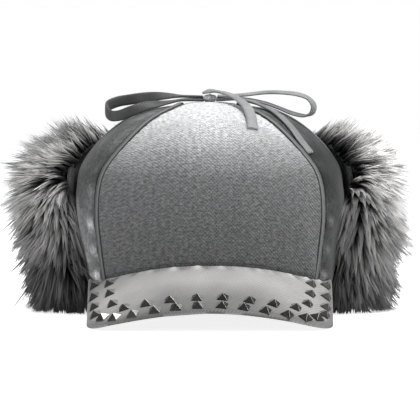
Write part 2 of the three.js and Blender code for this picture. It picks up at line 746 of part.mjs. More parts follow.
// Middle lines of the loops and tails: x to the wearer's left and y to the back in mm, and the
// height above the crown below. A loop starts and ends at the knot, and its band turns on the way:
// across is the direction of its width. A tail lies flat on the crown.
const bowLoops = [
  {
    name: "bow_loop_left",
    line: [
      { x: -5.6, y: 3, lift: 4.4, across: [0, 1, 0] },
      { x: -21, y: 2, lift: 6, across: [0, 1, 0.1] },
      { x: -33.7, y: 4.5, lift: 8.2, across: [0, 0.8, 0.6] },
      { x: -46.3, y: 8.5, lift: 10.6, across: [0, 0.35, 0.95] },
      { x: -59.6, y: 9, lift: 14.6, across: [0, 0, 1] },
      { x: -68.7, y: 6.5, lift: 18.8, across: [0, 0, 1] },
      { x: -75.5, y: 0, lift: 20.9, across: [0, 0, 1] },
      { x: -76, y: -7, lift: 17.8, across: [0, 0, 1] },
      { x: -72.1, y: -14, lift: 11.6, across: [0, 0, 1] },
      { x: -66.1, y: -18, lift: 7.8, across: [0, 0, 1] },
      { x: -58, y: -20, lift: 6, across: [0, 0.1, 1] },
      { x: -46.3, y: -19, lift: 5.2, across: [0, 0.6, 0.8] },
      { x: -36.9, y: -16, lift: 4.4, across: [0, 0.85, 0.5] },
      { x: -29.6, y: -13, lift: 4.2, across: [0, 0.97, 0.2] },
      { x: -20.9, y: -9, lift: 3.9, across: [0, 1, 0] },
      { x: -5.6, y: -3, lift: 2, across: [0, 1, 0] },
    ],
  },
  {
    name: "bow_loop_right",
    line: [
      { x: 5.6, y: 2, lift: 4.8, across: [0, 1, 0.1] },
      { x: 24, y: 2, lift: 7.3, across: [0, 1, 0.2] },
      { x: 40.9, y: 1, lift: 12.5, across: [0.1, 1, 0.25] },
      { x: 53.4, y: 0, lift: 16.6, across: [0.2, 1, 0.25] },
      { x: 65.7, y: -1, lift: 21.9, across: [0.4, 0.9, 0.2] },
      { x: 73.2, y: -1.5, lift: 24.2, across: [0.5, 0.85, 0] },
      { x: 76.5, y: -2, lift: 21.9, across: [0.5, 0.85, 0] },
      { x: 75.1, y: -2, lift: 15.8, across: [0.5, 0.85, 0] },
      { x: 70.7, y: -2, lift: 10.8, across: [0.45, 0.85, 0.1] },
      { x: 61.2, y: -1.5, lift: 6, across: [0.3, 0.95, 0.2] },
      { x: 52.2, y: -1, lift: 4.6, across: [0.1, 1, 0.2] },
      { x: 40.9, y: 0, lift: 4.6, across: [0, 1, 0.2] },
      { x: 24, y: 1, lift: 4.4, across: [0, 1, 0.15] },
      { x: 5.6, y: 2, lift: 2, across: [0, 1, 0.1] },
    ],
  },
];

const bowTails = [
  {
    name: "bow_tail_front",
    line: [
      { x: -4.4, y: -3, lift: 7.5 },
      { x: -1.8, y: -4, lift: 8.3 },
      { x: 2.6, y: -5, lift: 8.4 },
      { x: 9.3, y: -10, lift: 7.8 },
      { x: 16.5, y: -20, lift: 6.6 },
      { x: 22.5, y: -33, lift: 5 },
      { x: 27, y: -47, lift: 4 },
      { x: 29.6, y: -60, lift: 2.4 },
      { x: 30.4, y: -70, lift: 1.6 },
    ],
  },
  {
    name: "bow_tail_right",
    line: [
      { x: 5.6, y: -7.6, lift: 2.2 },
      { x: 14, y: -10.5, lift: 3.4 },
      { x: 26, y: -14, lift: 4.2 },
      { x: 38, y: -19, lift: 2.8 },
      { x: 46.5, y: -28, lift: 1.8 },
      { x: 53, y: -39, lift: 1.6 },
      { x: 59.5, y: -49, lift: 1.6 },
      { x: 65.5, y: -57, lift: 1.6 },
      { x: 72, y: -60, lift: 1.6 },
    ],
  },
];

// A flat band with its middle line through places, and for each place the direction of its width.
function band(places, widths) {
  const curve = new THREE.CatmullRomCurve3(places);
  const steps = Math.max(Math.round(curve.getLength() / bandStep), 8);
  const points = curve.getSpacedPoints(steps);
  const outwards = points.map((point, i) => {
    const place = curve.getUtoTmapping(i / steps) * (places.length - 1);
    const before = Math.min(Math.floor(place), places.length - 2);
    const across = widths[before].clone().lerp(widths[before + 1], place - before);
    const along = points[Math.min(i + 1, steps)].clone().sub(points[Math.max(i - 1, 0)]);
    return across.cross(along).normalize();
  });
  const [across, out] = [strapWidth / 2, strapThickness / 2];
  const section = [
    { out: -out, across: -across },
    { out, across: -across },
    { out, across },
    { out: -out, across },
  ];
  return sweep(section, framesAlong(points, outwards));
}

// The direction of a band's width where it lies flat on the crown at each place.
function flatWidths(places) {
  return places.map((place, i) => {
    const along = places[Math.min(i + 1, places.length - 1)].clone().sub(places[Math.max(i - 1, 0)]);
    return along.cross(crownNormal(crownTop(place.x, place.y))).normalize();
  });
}

// Straps from behind the ear flaps up over the crown to the knot, and the bow.
function addStrapsAndBow(parent) {
  const top = crownTop(0, 0);
  const angle = strapAngle * degree;
  const share = (angle - earSpan.from) / (earSpan.to - earSpan.from);
  const start = crownPoint(angle, earTop(share) - strapTuck);
  const end = new THREE.Vector2(2 * sewnGap, strapBehindKnot);
  const inside = new THREE.Vector3(0, start.y * 0.6, crownHeight * 0.55);
  const low = start.clone().sub(inside);
  const steps = 12;
  const places = Array.from({ length: steps + 1 }, (_, i) => {
    const turn = i / steps;
    const goal = crownTop(end.x, end.y).sub(inside);
    const reach = low.clone().lerp(goal, turn).normalize();
    const rise = THREE.MathUtils.smoothstep(turn, strapRise.from, strapRise.to);
    const lift = strapLie + (strapOverPiping - strapLie) * rise;
    const on = leaveCrown(inside, reach);
    return on.clone().addScaledVector(crownNormal(on), lift);
  });
  const strap = band(places, flatWidths(places));
  addPiece("strap_left", mirrored(strap), strapCloth, parent);
  addPiece("strap_right", strap, strapCloth, parent);
  const knot = new THREE.SphereGeometry(0.5, 12, 8).scale(knotLength, knotWidth, knotHeight);
  const knotPiece = addPiece("bow_knot", knot, strapCloth, parent);
  knotPiece.position.copy(top).add(new THREE.Vector3(0, 0, knotHeight / 2 + sewnGap));
  const lifted = (line) => line.map(({ x, y, lift }) => crownTop(x, y).add(new THREE.Vector3(0, 0, lift)));
  for (const { name, line } of bowLoops) {
    const widths = line.map(({ across }) => new THREE.Vector3(...across).normalize());
    addPiece(name, band(lifted(line), widths), strapCloth, parent);
  }
  for (const { name, line } of bowTails) {
    const tail = lifted(line);
    addPiece(name, band(tail, flatWidths(tail)), strapCloth, parent);
  }
}

addCrown();
addPeak();
addStuds();
addFlaps();

// The cap is set down before the straps and the bow are added.
const box = new THREE.Box3().setFromObject(cap);
const middle = box.getCenter(new THREE.Vector3());
cap.position.set(-middle.x, -middle.y, -box.min.z);
addStrapsAndBow(cap);

export default cap;
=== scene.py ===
# A fur-trimmed winter cap with a studded peak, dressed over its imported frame.
import json
import math

import bmesh
import bpy
import numpy as np
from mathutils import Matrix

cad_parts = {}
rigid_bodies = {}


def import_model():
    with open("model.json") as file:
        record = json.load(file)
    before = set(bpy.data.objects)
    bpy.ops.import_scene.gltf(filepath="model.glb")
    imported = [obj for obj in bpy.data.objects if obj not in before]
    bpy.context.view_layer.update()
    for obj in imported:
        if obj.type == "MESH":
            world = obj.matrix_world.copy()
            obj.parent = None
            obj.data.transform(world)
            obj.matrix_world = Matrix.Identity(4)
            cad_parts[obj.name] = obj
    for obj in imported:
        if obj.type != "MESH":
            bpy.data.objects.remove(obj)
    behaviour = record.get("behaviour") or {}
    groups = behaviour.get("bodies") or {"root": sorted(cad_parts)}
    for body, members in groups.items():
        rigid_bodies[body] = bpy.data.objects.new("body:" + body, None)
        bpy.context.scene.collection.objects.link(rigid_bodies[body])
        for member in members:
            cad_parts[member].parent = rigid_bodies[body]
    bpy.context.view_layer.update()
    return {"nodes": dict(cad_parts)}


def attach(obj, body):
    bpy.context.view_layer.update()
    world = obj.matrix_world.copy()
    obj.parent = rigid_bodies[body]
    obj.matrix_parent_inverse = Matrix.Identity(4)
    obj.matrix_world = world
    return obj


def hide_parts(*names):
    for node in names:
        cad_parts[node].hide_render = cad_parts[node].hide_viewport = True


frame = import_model()

# Studio: a pale floor in an even white surround, a broad soft lamp overhead and a weaker one at
# each side. The camera stands two metres before the cap, a little above its peak.
mm = 0.001
surround = bpy.data.worlds.new("white_surround")
bpy.context.scene.world = surround
surround.use_nodes = True
surround_nodes = surround.node_tree.nodes
surround_links = surround.node_tree.links
surround_light = surround_nodes["Background"]
surround_light.inputs["Color"].default_value = (0.93, 0.96, 1.0, 1)
surround_light.inputs["Strength"].default_value = 0.42
surround_seen = surround_nodes.new("ShaderNodeBackground")
surround_seen.inputs["Color"].default_value = (1, 1, 1, 1)
surround_seen.inputs["Strength"].default_value = 1.0
surround_ray = surround_nodes.new("ShaderNodeLightPath")
surround_mix = surround_nodes.new("ShaderNodeMixShader")
surround_links.new(surround_ray.outputs["Is Camera Ray"], surround_mix.inputs[0])
surround_links.new(surround_light.outputs[0], surround_mix.inputs[1])
surround_links.new(surround_seen.outputs[0], surround_mix.inputs[2])
surround_links.new(surround_mix.outputs[0], surround_nodes["World Output"].inputs["Surface"])


def hang_lamp(name, place, aim, width, height, watts):
    lamp = bpy.data.lights.new(name, "AREA")
    lamp.shape = "RECTANGLE"
    lamp.size, lamp.size_y = width, height
    lamp.energy = watts
    holder = bpy.data.objects.new(name, lamp)
    bpy.context.collection.objects.link(holder)
    holder.location = place
    from_place = np.array(aim, float) - np.array(place, float)
    across = math.atan2(from_place[0], -from_place[1])
    down = math.atan2(math.hypot(from_place[0], from_place[1]), -from_place[2])
    holder.rotation_euler = (down, 0, across + math.pi)


hang_lamp("softbox_overhead", (0.4, -0.1, 1.25), (0, -0.02, 0.1), 0.9, 0.7, 19)
hang_lamp("softbox_right", (1.25, -0.25, 0.95), (0.1, 0, 0.1), 0.6, 0.6, 6.5)
hang_lamp("softbox_left", (-1.2, -1.0, 0.5), (-0.1, 0, 0.09), 0.8, 0.7, 7.5)

camera = bpy.data.cameras.new("camera")
camera.lens = 231.7
camera.sensor_width = 36
camera.clip_end = 20
camera_stand = bpy.data.objects.new("camera", camera)
bpy.context.collection.objects.link(camera_stand)
camera_stand.location = (0, -1.9915, 0.1637)
camera_stand.rotation_euler = (math.atan2(1.995, 0.0878), 0, 0)
bpy.context.scene.camera = camera_stand
bpy.context.scene.view_settings.view_transform = "Standard"


def new_mesh(name, points, faces, smooth=True):
    """A piece from points, in any grid, and faces."""
    mesh = bpy.data.meshes.new(name)
    points = np.asarray(points, float).reshape(-1, 3)
    mesh.from_pydata([tuple(p) for p in points], [], [tuple(f) for f in faces])
    mesh.validate()
    mesh.polygons.foreach_set("use_smooth", [smooth] * len(mesh.polygons))
    piece = bpy.data.objects.new(name, mesh)
    bpy.context.collection.objects.link(piece)
    return piece


floor_half = 6.0
floor_corners = floor_half * np.array([(-1, -1, 0), (1, -1, 0), (1, 1, 0), (-1, 1, 0)])
floor = new_mesh("studio_floor", floor_corners, [(0, 1, 2, 3)])
pale_floor = bpy.data.materials.new("pale_floor")
pale_floor.use_nodes = True
floor_nodes = pale_floor.node_tree.nodes
floor_shader = floor_nodes["Principled BSDF"]
floor_shader.inputs["Base Color"].default_value = (0.88, 0.88, 0.88, 1)
floor_shader.inputs["Roughness"].default_value = 0.8
floor_shader.inputs["Specular IOR Level"].default_value = 0.1
floor_shader.inputs["Emission Color"].default_value = (1, 1, 1, 1)
floor_ray = floor_nodes.new("ShaderNodeLightPath")
floor_glow = floor_nodes.new("ShaderNodeMath")
floor_glow.operation = "MULTIPLY"
floor_glow.inputs[1].default_value = 0.85
pale_floor.node_tree.links.new(floor_ray.outputs["Is Camera Ray"], floor_glow.inputs[0])
pale_floor.node_tree.links.new(floor_glow.outputs[0], floor_shader.inputs["Emission Strength"])
floor.data.materials.append(pale_floor)

# Crown: three panels cut from cloth and sewn along two curved seams, with a plain lining inside.
# The middle panel is canvas with painted light, pale on top and dark low down, the side panels are brushed
# and darker.
crown_half_width, crown_front, crown_back, crown_height = 98.0, 101.0, 103.0, 131.0
crown_wall = 3.0
crown_squareness = 2.4
rim_rise = 15.5
set_down = np.array([0, 3.461, 24.230])
crown_up = np.array([0, 0.18, 0.4, 0.6, 0.73, 0.85, 0.94, 0.985, 1])
crown_side_share = np.array([0.925, 0.962, 1, 0.985, 0.885, 0.72, 0.51, 0.26, 0])
crown_front_share = np.array([0.985, 1, 0.995, 0.95, 0.87, 0.73, 0.53, 0.28, 0])
crown_back_share = np.array([0.965, 0.985, 1, 0.975, 0.895, 0.74, 0.52, 0.27, 0])
seam_along = np.array(
    [-1, -0.72, -0.668, -0.659, -0.648, -0.618, -0.54, -0.41, -0.3, -0.17, 0, 0.25, 0.6, 1, 1.25]
)
seam_out = np.array(
    [2, 1.2, 0.84, 0.775, 0.7, 0.61, 0.5, 0.355, 0.285, 0.24, 0.225, 0.225, 0.27, 0.36, 0.41]
)


def read_table(keys, values, place):
    """Smooth value of a table at each place."""
    place = np.asarray(place, float)
    last = len(keys) - 1
    before = np.maximum(np.arange(last + 1) - 1, 0)
    after = np.minimum(np.arange(last + 1) + 1, last)
    slope = (values[after] - values[before]) / (keys[after] - keys[before])
    i = np.clip(np.searchsorted(keys, place, side="left"), 1, last)
    span = keys[i] - keys[i - 1]
    t = np.clip((place - keys[i - 1]) / span, 0, 1)
    return (
        values[i - 1] * (1 + 2 * t) * (1 - t) ** 2
        + values[i] * (3 - 2 * t) * t**2
        + slope[i - 1] * span * t * (1 - t) ** 2
        - slope[i] * span * (1 - t) * t**2
    )


def unit(vectors):
    return vectors / np.linalg.norm(vectors, axis=-1, keepdims=True)


def boxed(value, power):
    """Value to a power below 1, with its sign kept, which turns a circle into a rounded box."""
    return np.sign(value) * np.abs(value) ** power


def hump(distance, width):
    return np.exp(-((distance / width) ** 2))


def crown_section(height, grow=0.0):
    """Half sizes of the crown's outline at each height: side, front and back."""
    turn = np.arcsin(np.clip(np.asarray(height, float) / (crown_height + grow), 0, 1))
    turns = np.arcsin(crown_up)
    side = np.maximum(read_table(turns, crown_side_share, turn), 0) * (crown_half_width + grow)
    front = np.maximum(read_table(turns, crown_front_share, turn), 0) * (crown_front + grow)
    back = np.maximum(read_table(turns, crown_back_share, turn), 0) * (crown_back + grow)
    return side, front, back


def crown_point(angle, height, grow=0.0):
    """Points on the crown at angles from the middle of the front, and heights."""
    angle, height = np.broadcast_arrays(np.asarray(angle, float), np.asarray(height, float))
    side, front, back = crown_section(height, grow)
    bend = 2 / crown_squareness
    forward = boxed(np.cos(angle), bend)
    out = boxed(np.sin(angle), bend)
    length = np.where(forward > 0, front, back)
    return np.stack([side * out, -length * forward, height], -1)


def crown_level(points, grow=0.0):
    """Below 0 inside the crown and above 0 outside it."""
    side, front, back = crown_section(points[..., 2], grow)
    length = np.where(points[..., 1] < 0, front, back)
    tiny = 1e-6
    level = np.abs(points[..., 0] / np.maximum(side, tiny)) ** crown_squareness
    level = level + np.abs(points[..., 1] / np.maximum(length, tiny)) ** crown_squareness - 1
    return np.where(points[..., 2] >= crown_height + grow, 1.0, level)


def halve(is_inside, low, high, steps=36):
    """The places where is_inside turns false between low and high."""
    for _ in range(steps):
        middle = (low + high) / 2
        inside = is_inside(middle)
        low, high = np.where(inside, middle, low), np.where(inside, high, middle)
    return low


def leave_crown(start, direction, grow=0.0):
    """Where rays from inside the crown leave it."""
    direction = unit(direction)
    none = np.zeros(direction.shape[:-1])

    def inside(reach):
        return crown_level(start + direction * reach[..., None], grow) < 0

    return start + direction * halve(inside, none, none + 3 * crown_height)[..., None]


crown_core = np.array([0, 0, 0.3 * crown_height])


def crown_normal(points):
    """Directions straight out of the crown's surface."""
    step = 0.5
    at = points.copy()
    at[..., 2] = np.clip(at[..., 2], step, crown_height - 2 * step)
    slopes = []
    for axis in np.eye(3):
        slopes.append(crown_level(at + axis * step) - crown_level(at - axis * step))
    return unit(np.stack(slopes, -1))


def rim_height(angle):
    return rim_rise * np.maximum(np.cos(angle), 0) ** 3


def rim_angle(points):
    """Angle round the crown, from the middle of the front, of points near the rim."""
    side, front, back = crown_section(points[..., 2])
    length = np.where(points[..., 1] < 0, front, back)
    half = crown_squareness / 2
    return np.arctan2(boxed(points[..., 0] / side, half), boxed(-points[..., 1] / length, half))


def seam_edge(y):
    along = y / np.where(y < 0, crown_front, crown_back)
    return crown_half_width * read_table(seam_along, seam_out, along)


def across_panel(turn, share):
    """Crown points at a turn about the sideways axis and a share of the middle panel's half width."""
    turn, share = np.broadcast_arrays(turn, share)

    def place(reach):
        y = -reach * np.cos(turn)
        return np.stack([share * seam_edge(y), y, crown_core[2] + reach * np.sin(turn)], -1)

    def inside(reach):
        return crown_level(place(reach)) < 0

    return place(halve(inside, np.zeros(turn.shape), np.full(turn.shape, 2 * crown_height)))


def turn_of_rim(share, top, bottom):
    """Turn at which the panel meets the rim, for each share of its half width."""

    def above(turn):
        points = across_panel(turn, share)
        return points[..., 2] > rim_height(rim_angle(points))

    return halve(above, np.full(share.shape, top), np.full(share.shape, bottom), 28)


def ripple(seed, count=5):
    """A smooth wave of mixed lengths, about 1 high, for a given length in mm."""
    picks = np.random.default_rng(seed)
    lengths = picks.uniform(0.6, 1.7, count)
    starts = picks.uniform(0, 2 * math.pi, count)

    def wave(place, length):
        total = 0
        for share, start in zip(lengths, starts):
            total = total + np.sin(2 * math.pi * place / (length * share) + start)
        return total / count**0.5

    return wave


def soft_noise(points, length, seed, count=7):
    """Smooth swells of about a given length in mm over points in space, about 1 high."""
    picks = np.random.default_rng(seed)
    total = 0
    for _ in range(count):
        way = picks.normal(0, 1, 3)
        way /= np.linalg.norm(way)
        phase = points @ way * 2 * math.pi / (length * picks.uniform(0.7, 1.6))
        total = total + np.sin(phase + picks.uniform(0, 7))
    return total / count**0.5


def arc_length(points):
    """Distance along the first axis of a grid of points."""
    steps = np.linalg.norm(np.diff(points, axis=0), axis=-1)
    return np.concatenate([np.zeros((1, *steps.shape[1:])), np.cumsum(steps, axis=0)])


def grid_faces(rows, columns):
    """Faces between the points of a grid, given row by row."""
    i, j = np.meshgrid(np.arange(rows - 1), np.arange(columns - 1), indexing="ij")
    corner = (i * columns + j).ravel()
    return np.stack([corner, corner + 1, corner + columns + 1, corner + columns], -1)


def set_attribute(piece, name, values, kind="FLOAT"):
    layer = piece.data.attributes.new(name, kind, "POINT")
    field = "vector" if kind == "FLOAT_VECTOR" else "value"
    layer.data.foreach_set(field, np.asarray(values, float).ravel())


def set_uv(piece, u, v):
    """UV map from a grid of values for each of its two directions."""
    places = np.stack(np.broadcast_arrays(u, v), -1).reshape(-1, 2)
    layer = piece.data.uv_layers.new(name="cloth")
    corners = np.empty(len(piece.data.loops), int)
    piece.data.loops.foreach_get("vertex_index", corners)
    layer.data.foreach_set("uv", places[corners].ravel())


def to_frame(points):
    """From the crown's own millimetres to the frame's metres."""
    return (points + set_down) * mm


def face_out(piece):
    """Turns the faces of an open or closed sheet away from the crown's core."""
    mesh = piece.data
    core = (crown_core + set_down) * mm
    total = 0
    for face in list(mesh.polygons)[:: max(len(mesh.polygons) // 200, 1)]:
        total += (np.array(face.center) - core) @ np.array(face.normal)
    if total < 0:
        mesh.flip_normals()


middle_rows, middle_columns = 201, 101
share = np.linspace(-1, 1, middle_columns)
first_turn = turn_of_rim(share, math.pi / 2, -math.pi / 2)
last_turn = turn_of_rim(share, math.pi / 2, 1.5 * math.pi)
steps = np.linspace(0, 1, middle_rows)[:, None]
middle_panel = across_panel(first_turn + (last_turn - first_turn) * steps, share[None])
middle_along = arc_length(middle_panel)
from_seam = (1 - np.abs(share)) * np.abs(seam_edge(middle_panel[..., 1]))
rim_drop = np.minimum(middle_along, middle_along[-1] - middle_along)
pucker = ripple(3)
soft = ripple(5)
out = 0.7 * np.minimum(from_seam / 18, 1) - 1.3 * hump(from_seam, 2.6)
out = out + 0.34 * np.exp(-from_seam / 9) * pucker(middle_along, 5.0)
out = out + 0.35 * soft(middle_panel[..., 0] + 0.2 * middle_along, 26) * hump(rim_drop - 20, 30)
out = out - 0.6 * hump(rim_drop, 2)
middle_points = middle_panel + crown_normal(middle_panel) * out[..., None]
middle_piece = new_mesh("crown_middle", to_frame(middle_points), grid_faces(middle_rows, middle_columns))
set_uv(middle_piece, middle_panel[..., 0] * mm, middle_along * mm)
set_attribute(middle_piece, "from_seam", from_seam)
set_attribute(middle_piece, "from_rim", rim_drop)
face_out(middle_piece)


def node_maker(tree):
    """Adds nodes to a tree: make(kind, {input: value or socket}, **settings) gives the node."""

    def make(kind, inputs=None, **settings):
        node = tree.nodes.new(kind)
        for key, value in settings.items():
            setattr(node, key, value)
        for key, value in (inputs or {}).items():
            if isinstance(value, bpy.types.NodeSocket):
                tree.links.new(value, node.inputs[key])
            else:
                node.inputs[key].default_value = value
        return node

    return make


def ramp(make, factor, stops, interpolation="LINEAR"):
    """Colour ramp from (place, grey or colour) pairs."""
    node = make("ShaderNodeValToRGB", {"Fac": factor})
    node.color_ramp.interpolation = interpolation
    while len(node.color_ramp.elements) < len(stops):
        node.color_ramp.elements.new(1.0)
    for element, (place, colour) in zip(node.color_ramp.elements, stops):
        element.position = place
        tone = (colour,) * 3 if isinstance(colour, (int, float)) else colour
        element.color = (*tone, 1)
    return node.outputs["Color"]


def over(make, value, low, high, stops):
    """Colour ramp over a range of a value."""
    spread = make("ShaderNodeMapRange", {"Value": value, "From Min": low, "From Max": high})
    return ramp(make, spread.outputs[0], stops)


def read_attribute(make, name):
    return make("ShaderNodeAttribute", attribute_name=name).outputs["Fac"]


def noise(make, place, scale, detail):
    return make("ShaderNodeTexNoise", {"Vector": place, "Scale": scale, "Detail": detail}).outputs["Fac"]


def maths(make, operation, *values):
    return make("ShaderNodeMath", dict(enumerate(values)), operation=operation).outputs[0]


def effect_group(name, inputs, outputs):
    """An empty shader group with its sockets: name to (kind, default)."""
    group = bpy.data.node_groups.new(name, "ShaderNodeTree")
    for label, (kind, default) in inputs.items():
        socket = group.interface.new_socket(label, in_out="INPUT", socket_type=f"NodeSocket{kind}")
        if default is not None:
            socket.default_value = default
    for label, kind in outputs.items():
        group.interface.new_socket(label, in_out="OUTPUT", socket_type=f"NodeSocket{kind}")
    make = node_maker(group)
    return group, make, make("NodeGroupInput"), make("NodeGroupOutput")


# Weave: warp and weft threads crossing, with slubs where a thread runs thick.
weave, weave_make, weave_in, weave_out = effect_group(
    "thread_weave",
    {"Place": ("Vector", None), "Thread": ("Float", 0.0012), "Unevenness": ("Float", 0.4)},
    {"Height": "Float", "Slub": "Float"},
)
weave_scaled = weave_make("ShaderNodeVectorMath", {0: weave_in.outputs["Place"]}, operation="DIVIDE")
weave_size = weave_make("ShaderNodeCombineXYZ")
for axis in "XYZ":
    weave.links.new(weave_in.outputs["Thread"], weave_size.inputs[axis])
weave.links.new(weave_size.outputs[0], weave_scaled.inputs[1])
weave_wander = weave_make(
    "ShaderNodeTexNoise", {"Vector": weave_scaled.outputs[0], "Scale": 0.35, "Detail": 2.0}
)
weave_shift = weave_make(
    "ShaderNodeVectorMath", {0: weave_wander.outputs["Color"], 1: (0.5, 0.5, 0.5)}, operation="SUBTRACT"
)
weave_amount = weave_make(
    "ShaderNodeVectorMath",
    {0: weave_shift.outputs[0], "Scale": weave_in.outputs["Unevenness"]},
    operation="SCALE",
)
weave_place = weave_make(
    "ShaderNodeVectorMath", {0: weave_scaled.outputs[0], 1: weave_amount.outputs[0]}, operation="ADD"
)
weave_parts = weave_make("ShaderNodeSeparateXYZ", {0: weave_place.outputs[0]})
weave_sines = []
for axis in ("X", "Y"):
    turned = maths(weave_make, "MULTIPLY", weave_parts.outputs[axis], math.pi)
    weave_sines.append(maths(weave_make, "SINE", turned))
weave_cross = maths(weave_make, "MULTIPLY", *weave_sines)
weave_height = maths(weave_make, "MULTIPLY_ADD", weave_cross, 0.5, 0.5)
weave_slub_place = weave_make(
    "ShaderNodeVectorMath", {0: weave_scaled.outputs[0], 1: (1.0, 0.16, 1.0)}, operation="MULTIPLY"
)
weave.links.new(weave_height, weave_out.inputs["Height"])
weave.links.new(noise(weave_make, weave_slub_place.outputs[0], 0.8, 3.0), weave_out.inputs["Slub"])


def new_material(name, roughness=0.85, sheen=0.0):
    """A material with its node maker and its shader."""
    made = bpy.data.materials.new(name)
    made.use_nodes = True
    shader = made.node_tree.nodes["Principled BSDF"]
    shader.inputs["Roughness"].default_value = roughness
    shader.inputs["Sheen Weight"].default_value = sheen
    shader.inputs["Sheen Roughness"].default_value = 0.4
    shader.inputs["Specular IOR Level"].default_value = 0.3
    return made, node_maker(made.node_tree), shader


def paint(make, shader, colour, *masks):
    """Gives a shader a colour, times each of some grey masks."""
    for mask in masks:
        mixed = make(
            "ShaderNodeMix", {0: 1.0, 6: colour, 7: mask}, data_type="RGBA", blend_type="MULTIPLY"
        )
        colour = mixed.outputs[2]
    shader.id_data.links.new(colour, shader.inputs["Base Color"])


def bump(make, shader, height, distance, strength=1.0):
    node = make("ShaderNodeBump", {"Height": height, "Distance": distance, "Strength": strength})
    shader.id_data.links.new(node.outputs[0], shader.inputs["Normal"])


canvas, canvas_make, canvas_shader = new_material("canvas_painted_light", 0.9, 0.15)
canvas_uv = canvas_make("ShaderNodeUVMap", uv_map="cloth")
canvas_weave = canvas_make(
    "ShaderNodeGroup",
    {"Place": canvas_uv.outputs[0], "Thread": 0.0013, "Unevenness": 1.1},
    node_tree=weave,
)
canvas_place = canvas_make("ShaderNodeTexCoord").outputs["Object"]
canvas_parts = canvas_make("ShaderNodeSeparateXYZ", {0: canvas_place})
canvas_blotch = noise(canvas_make, canvas_place, 26.0, 4.0)
canvas_height = maths(canvas_make, "MULTIPLY_ADD", canvas_blotch, 0.016, canvas_parts.outputs["Z"])
# Painted light: the canvas runs from dark low down to near white on top, for the light falling from above.
canvas_painted_top_light = over(
    canvas_make,
    canvas_height,
    0.03,
    0.165,
    [(0.0, 0.11), (0.42, 0.13), (0.6, 0.155), (0.72, 0.27), (0.8, 0.42), (0.88, 0.58), (1.0, 0.7)],
)
canvas_threads = ramp(canvas_make, canvas_weave.outputs["Height"], [(0.0, 0.84), (0.7, 1.04)])
canvas_stretch = canvas_make(
    "ShaderNodeVectorMath", {0: canvas_uv.outputs[0], 1: (0.8, 1.6, 1.0)}, operation="MULTIPLY"
)
canvas_fleck = noise(canvas_make, canvas_stretch.outputs[0], 400.0, 3.0)
canvas_flecks = ramp(canvas_make, canvas_fleck, [(0.3, 0.58), (0.5, 0.97), (0.7, 1.4)])
canvas_slubs = ramp(canvas_make, canvas_weave.outputs["Slub"], [(0.3, 0.88), (0.7, 1.1)])
# Painted shade: a dark band beside each seam, for the shadow in the grooves along the piping.
canvas_seam_shade = over(
    canvas_make,
    read_attribute(canvas_make, "from_seam"),
    0.0,
    7.5,
    [(0.0, 0.12), (0.5, 0.14), (0.7, 0.85), (1.0, 1.0)],
)
# A dark stitch line 3.6 mm above the rim, and painted shade darkening the cloth down at the rim, where the
# crown meets the peak.
canvas_hem_stitch_and_rim_shade = over(
    canvas_make,
    read_attribute(canvas_make, "from_rim"),
    0.0,
    10.0,
    [(0.0, 0.55), (0.3, 0.8), (0.36, 0.55), (0.42, 0.95), (1.0, 1.0)],
)
paint(
    canvas_make,
    canvas_shader,
    canvas_painted_top_light,
    canvas_threads,
    canvas_slubs,
    canvas_flecks,
    canvas_seam_shade,
    canvas_hem_stitch_and_rim_shade,
)
bump(canvas_make, canvas_shader, canvas_weave.outputs["Height"], 0.0006, 0.9)

lining, lining_make, lining_shader = new_material("quilted_lining", 0.8, 0.3)
lining_place = lining_make("ShaderNodeTexCoord").outputs["Object"]
lining_cells = lining_make(
    "ShaderNodeTexVoronoi", {"Vector": lining_place, "Scale": 45.0}, feature="DISTANCE_TO_EDGE"
).outputs["Distance"]
lining_tone = ramp(lining_make, lining_cells, [(0.0, (0.03, 0.03, 0.032)), (0.1, (0.07, 0.07, 0.073))])
paint(lining_make, lining_shader, lining_tone)
bump(lining_make, lining_shader, lining_cells, 0.0012, 0.5)


def shell(piece, cloth, wall, inside):
    """Gives a sheet its wall, inwards, and its cloth and lining."""
    piece.data.materials.append(cloth)
    piece.data.materials.append(inside)
    wall_maker = piece.modifiers.new("wall", "SOLIDIFY")
    wall_maker.thickness = wall * mm
    wall_maker.offset = -1
    wall_maker.material_offset = 1
    wall_maker.material_offset_rim = 0


shell(middle_piece, canvas, crown_wall, lining)
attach(middle_piece, "root")
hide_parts("crown_centre_panel")

# Side panels: brushed cloth, darker than the canvas, that gathers a little along the seam.
side_rows, side_columns = 181, 61
side_along = np.linspace(0, 1, side_rows)
side_share = np.linspace(0, 1, side_columns)
side_seam = across_panel(first_turn[-1] + (last_turn[-1] - first_turn[-1]) * side_along, np.ones(side_rows))
side_angles = rim_angle(side_seam[[0, -1]])
side_rim_angle = side_angles[0] + (side_angles[1] - side_angles[0]) * side_along
side_rim = crown_point(side_rim_angle, rim_height(side_rim_angle))
side_down = side_share[None, :, None]
side_chord = side_seam[:, None] * (1 - side_down) + side_rim[:, None] * side_down
side_panel = leave_crown(crown_core, side_chord - crown_core)
side_seam_along = arc_length(side_seam[:, None])[:, 0]
side_gather = ripple(11)
side_gaps = np.linalg.norm(side_panel[:, :, None] - side_seam[None, None], axis=-1)
side_nearest = side_gaps.argmin(-1)
side_off = side_gaps.min(-1)
side_place = side_seam_along[side_nearest]
side_from_rim = np.abs(side_panel[..., 2] - rim_height(rim_angle(side_panel)))
out = 0.5 * np.minimum(side_off / 15, 1) - 1.3 * hump(side_off, 2.6)
side_low = np.clip((75 - side_panel[..., 2]) / 40, 0.15, 1)
side_wave = side_gather(side_place, 16.0)
out = out + 0.9 * side_low * hump(side_off - 9, 6) * side_wave
out = out + 0.35 * soft_noise(side_panel, 30.0, 12) * np.minimum(side_off / 8, 1)
out = out - 0.6 * hump(side_from_rim, 2)
side_points = side_panel + crown_normal(side_panel) * out[..., None]

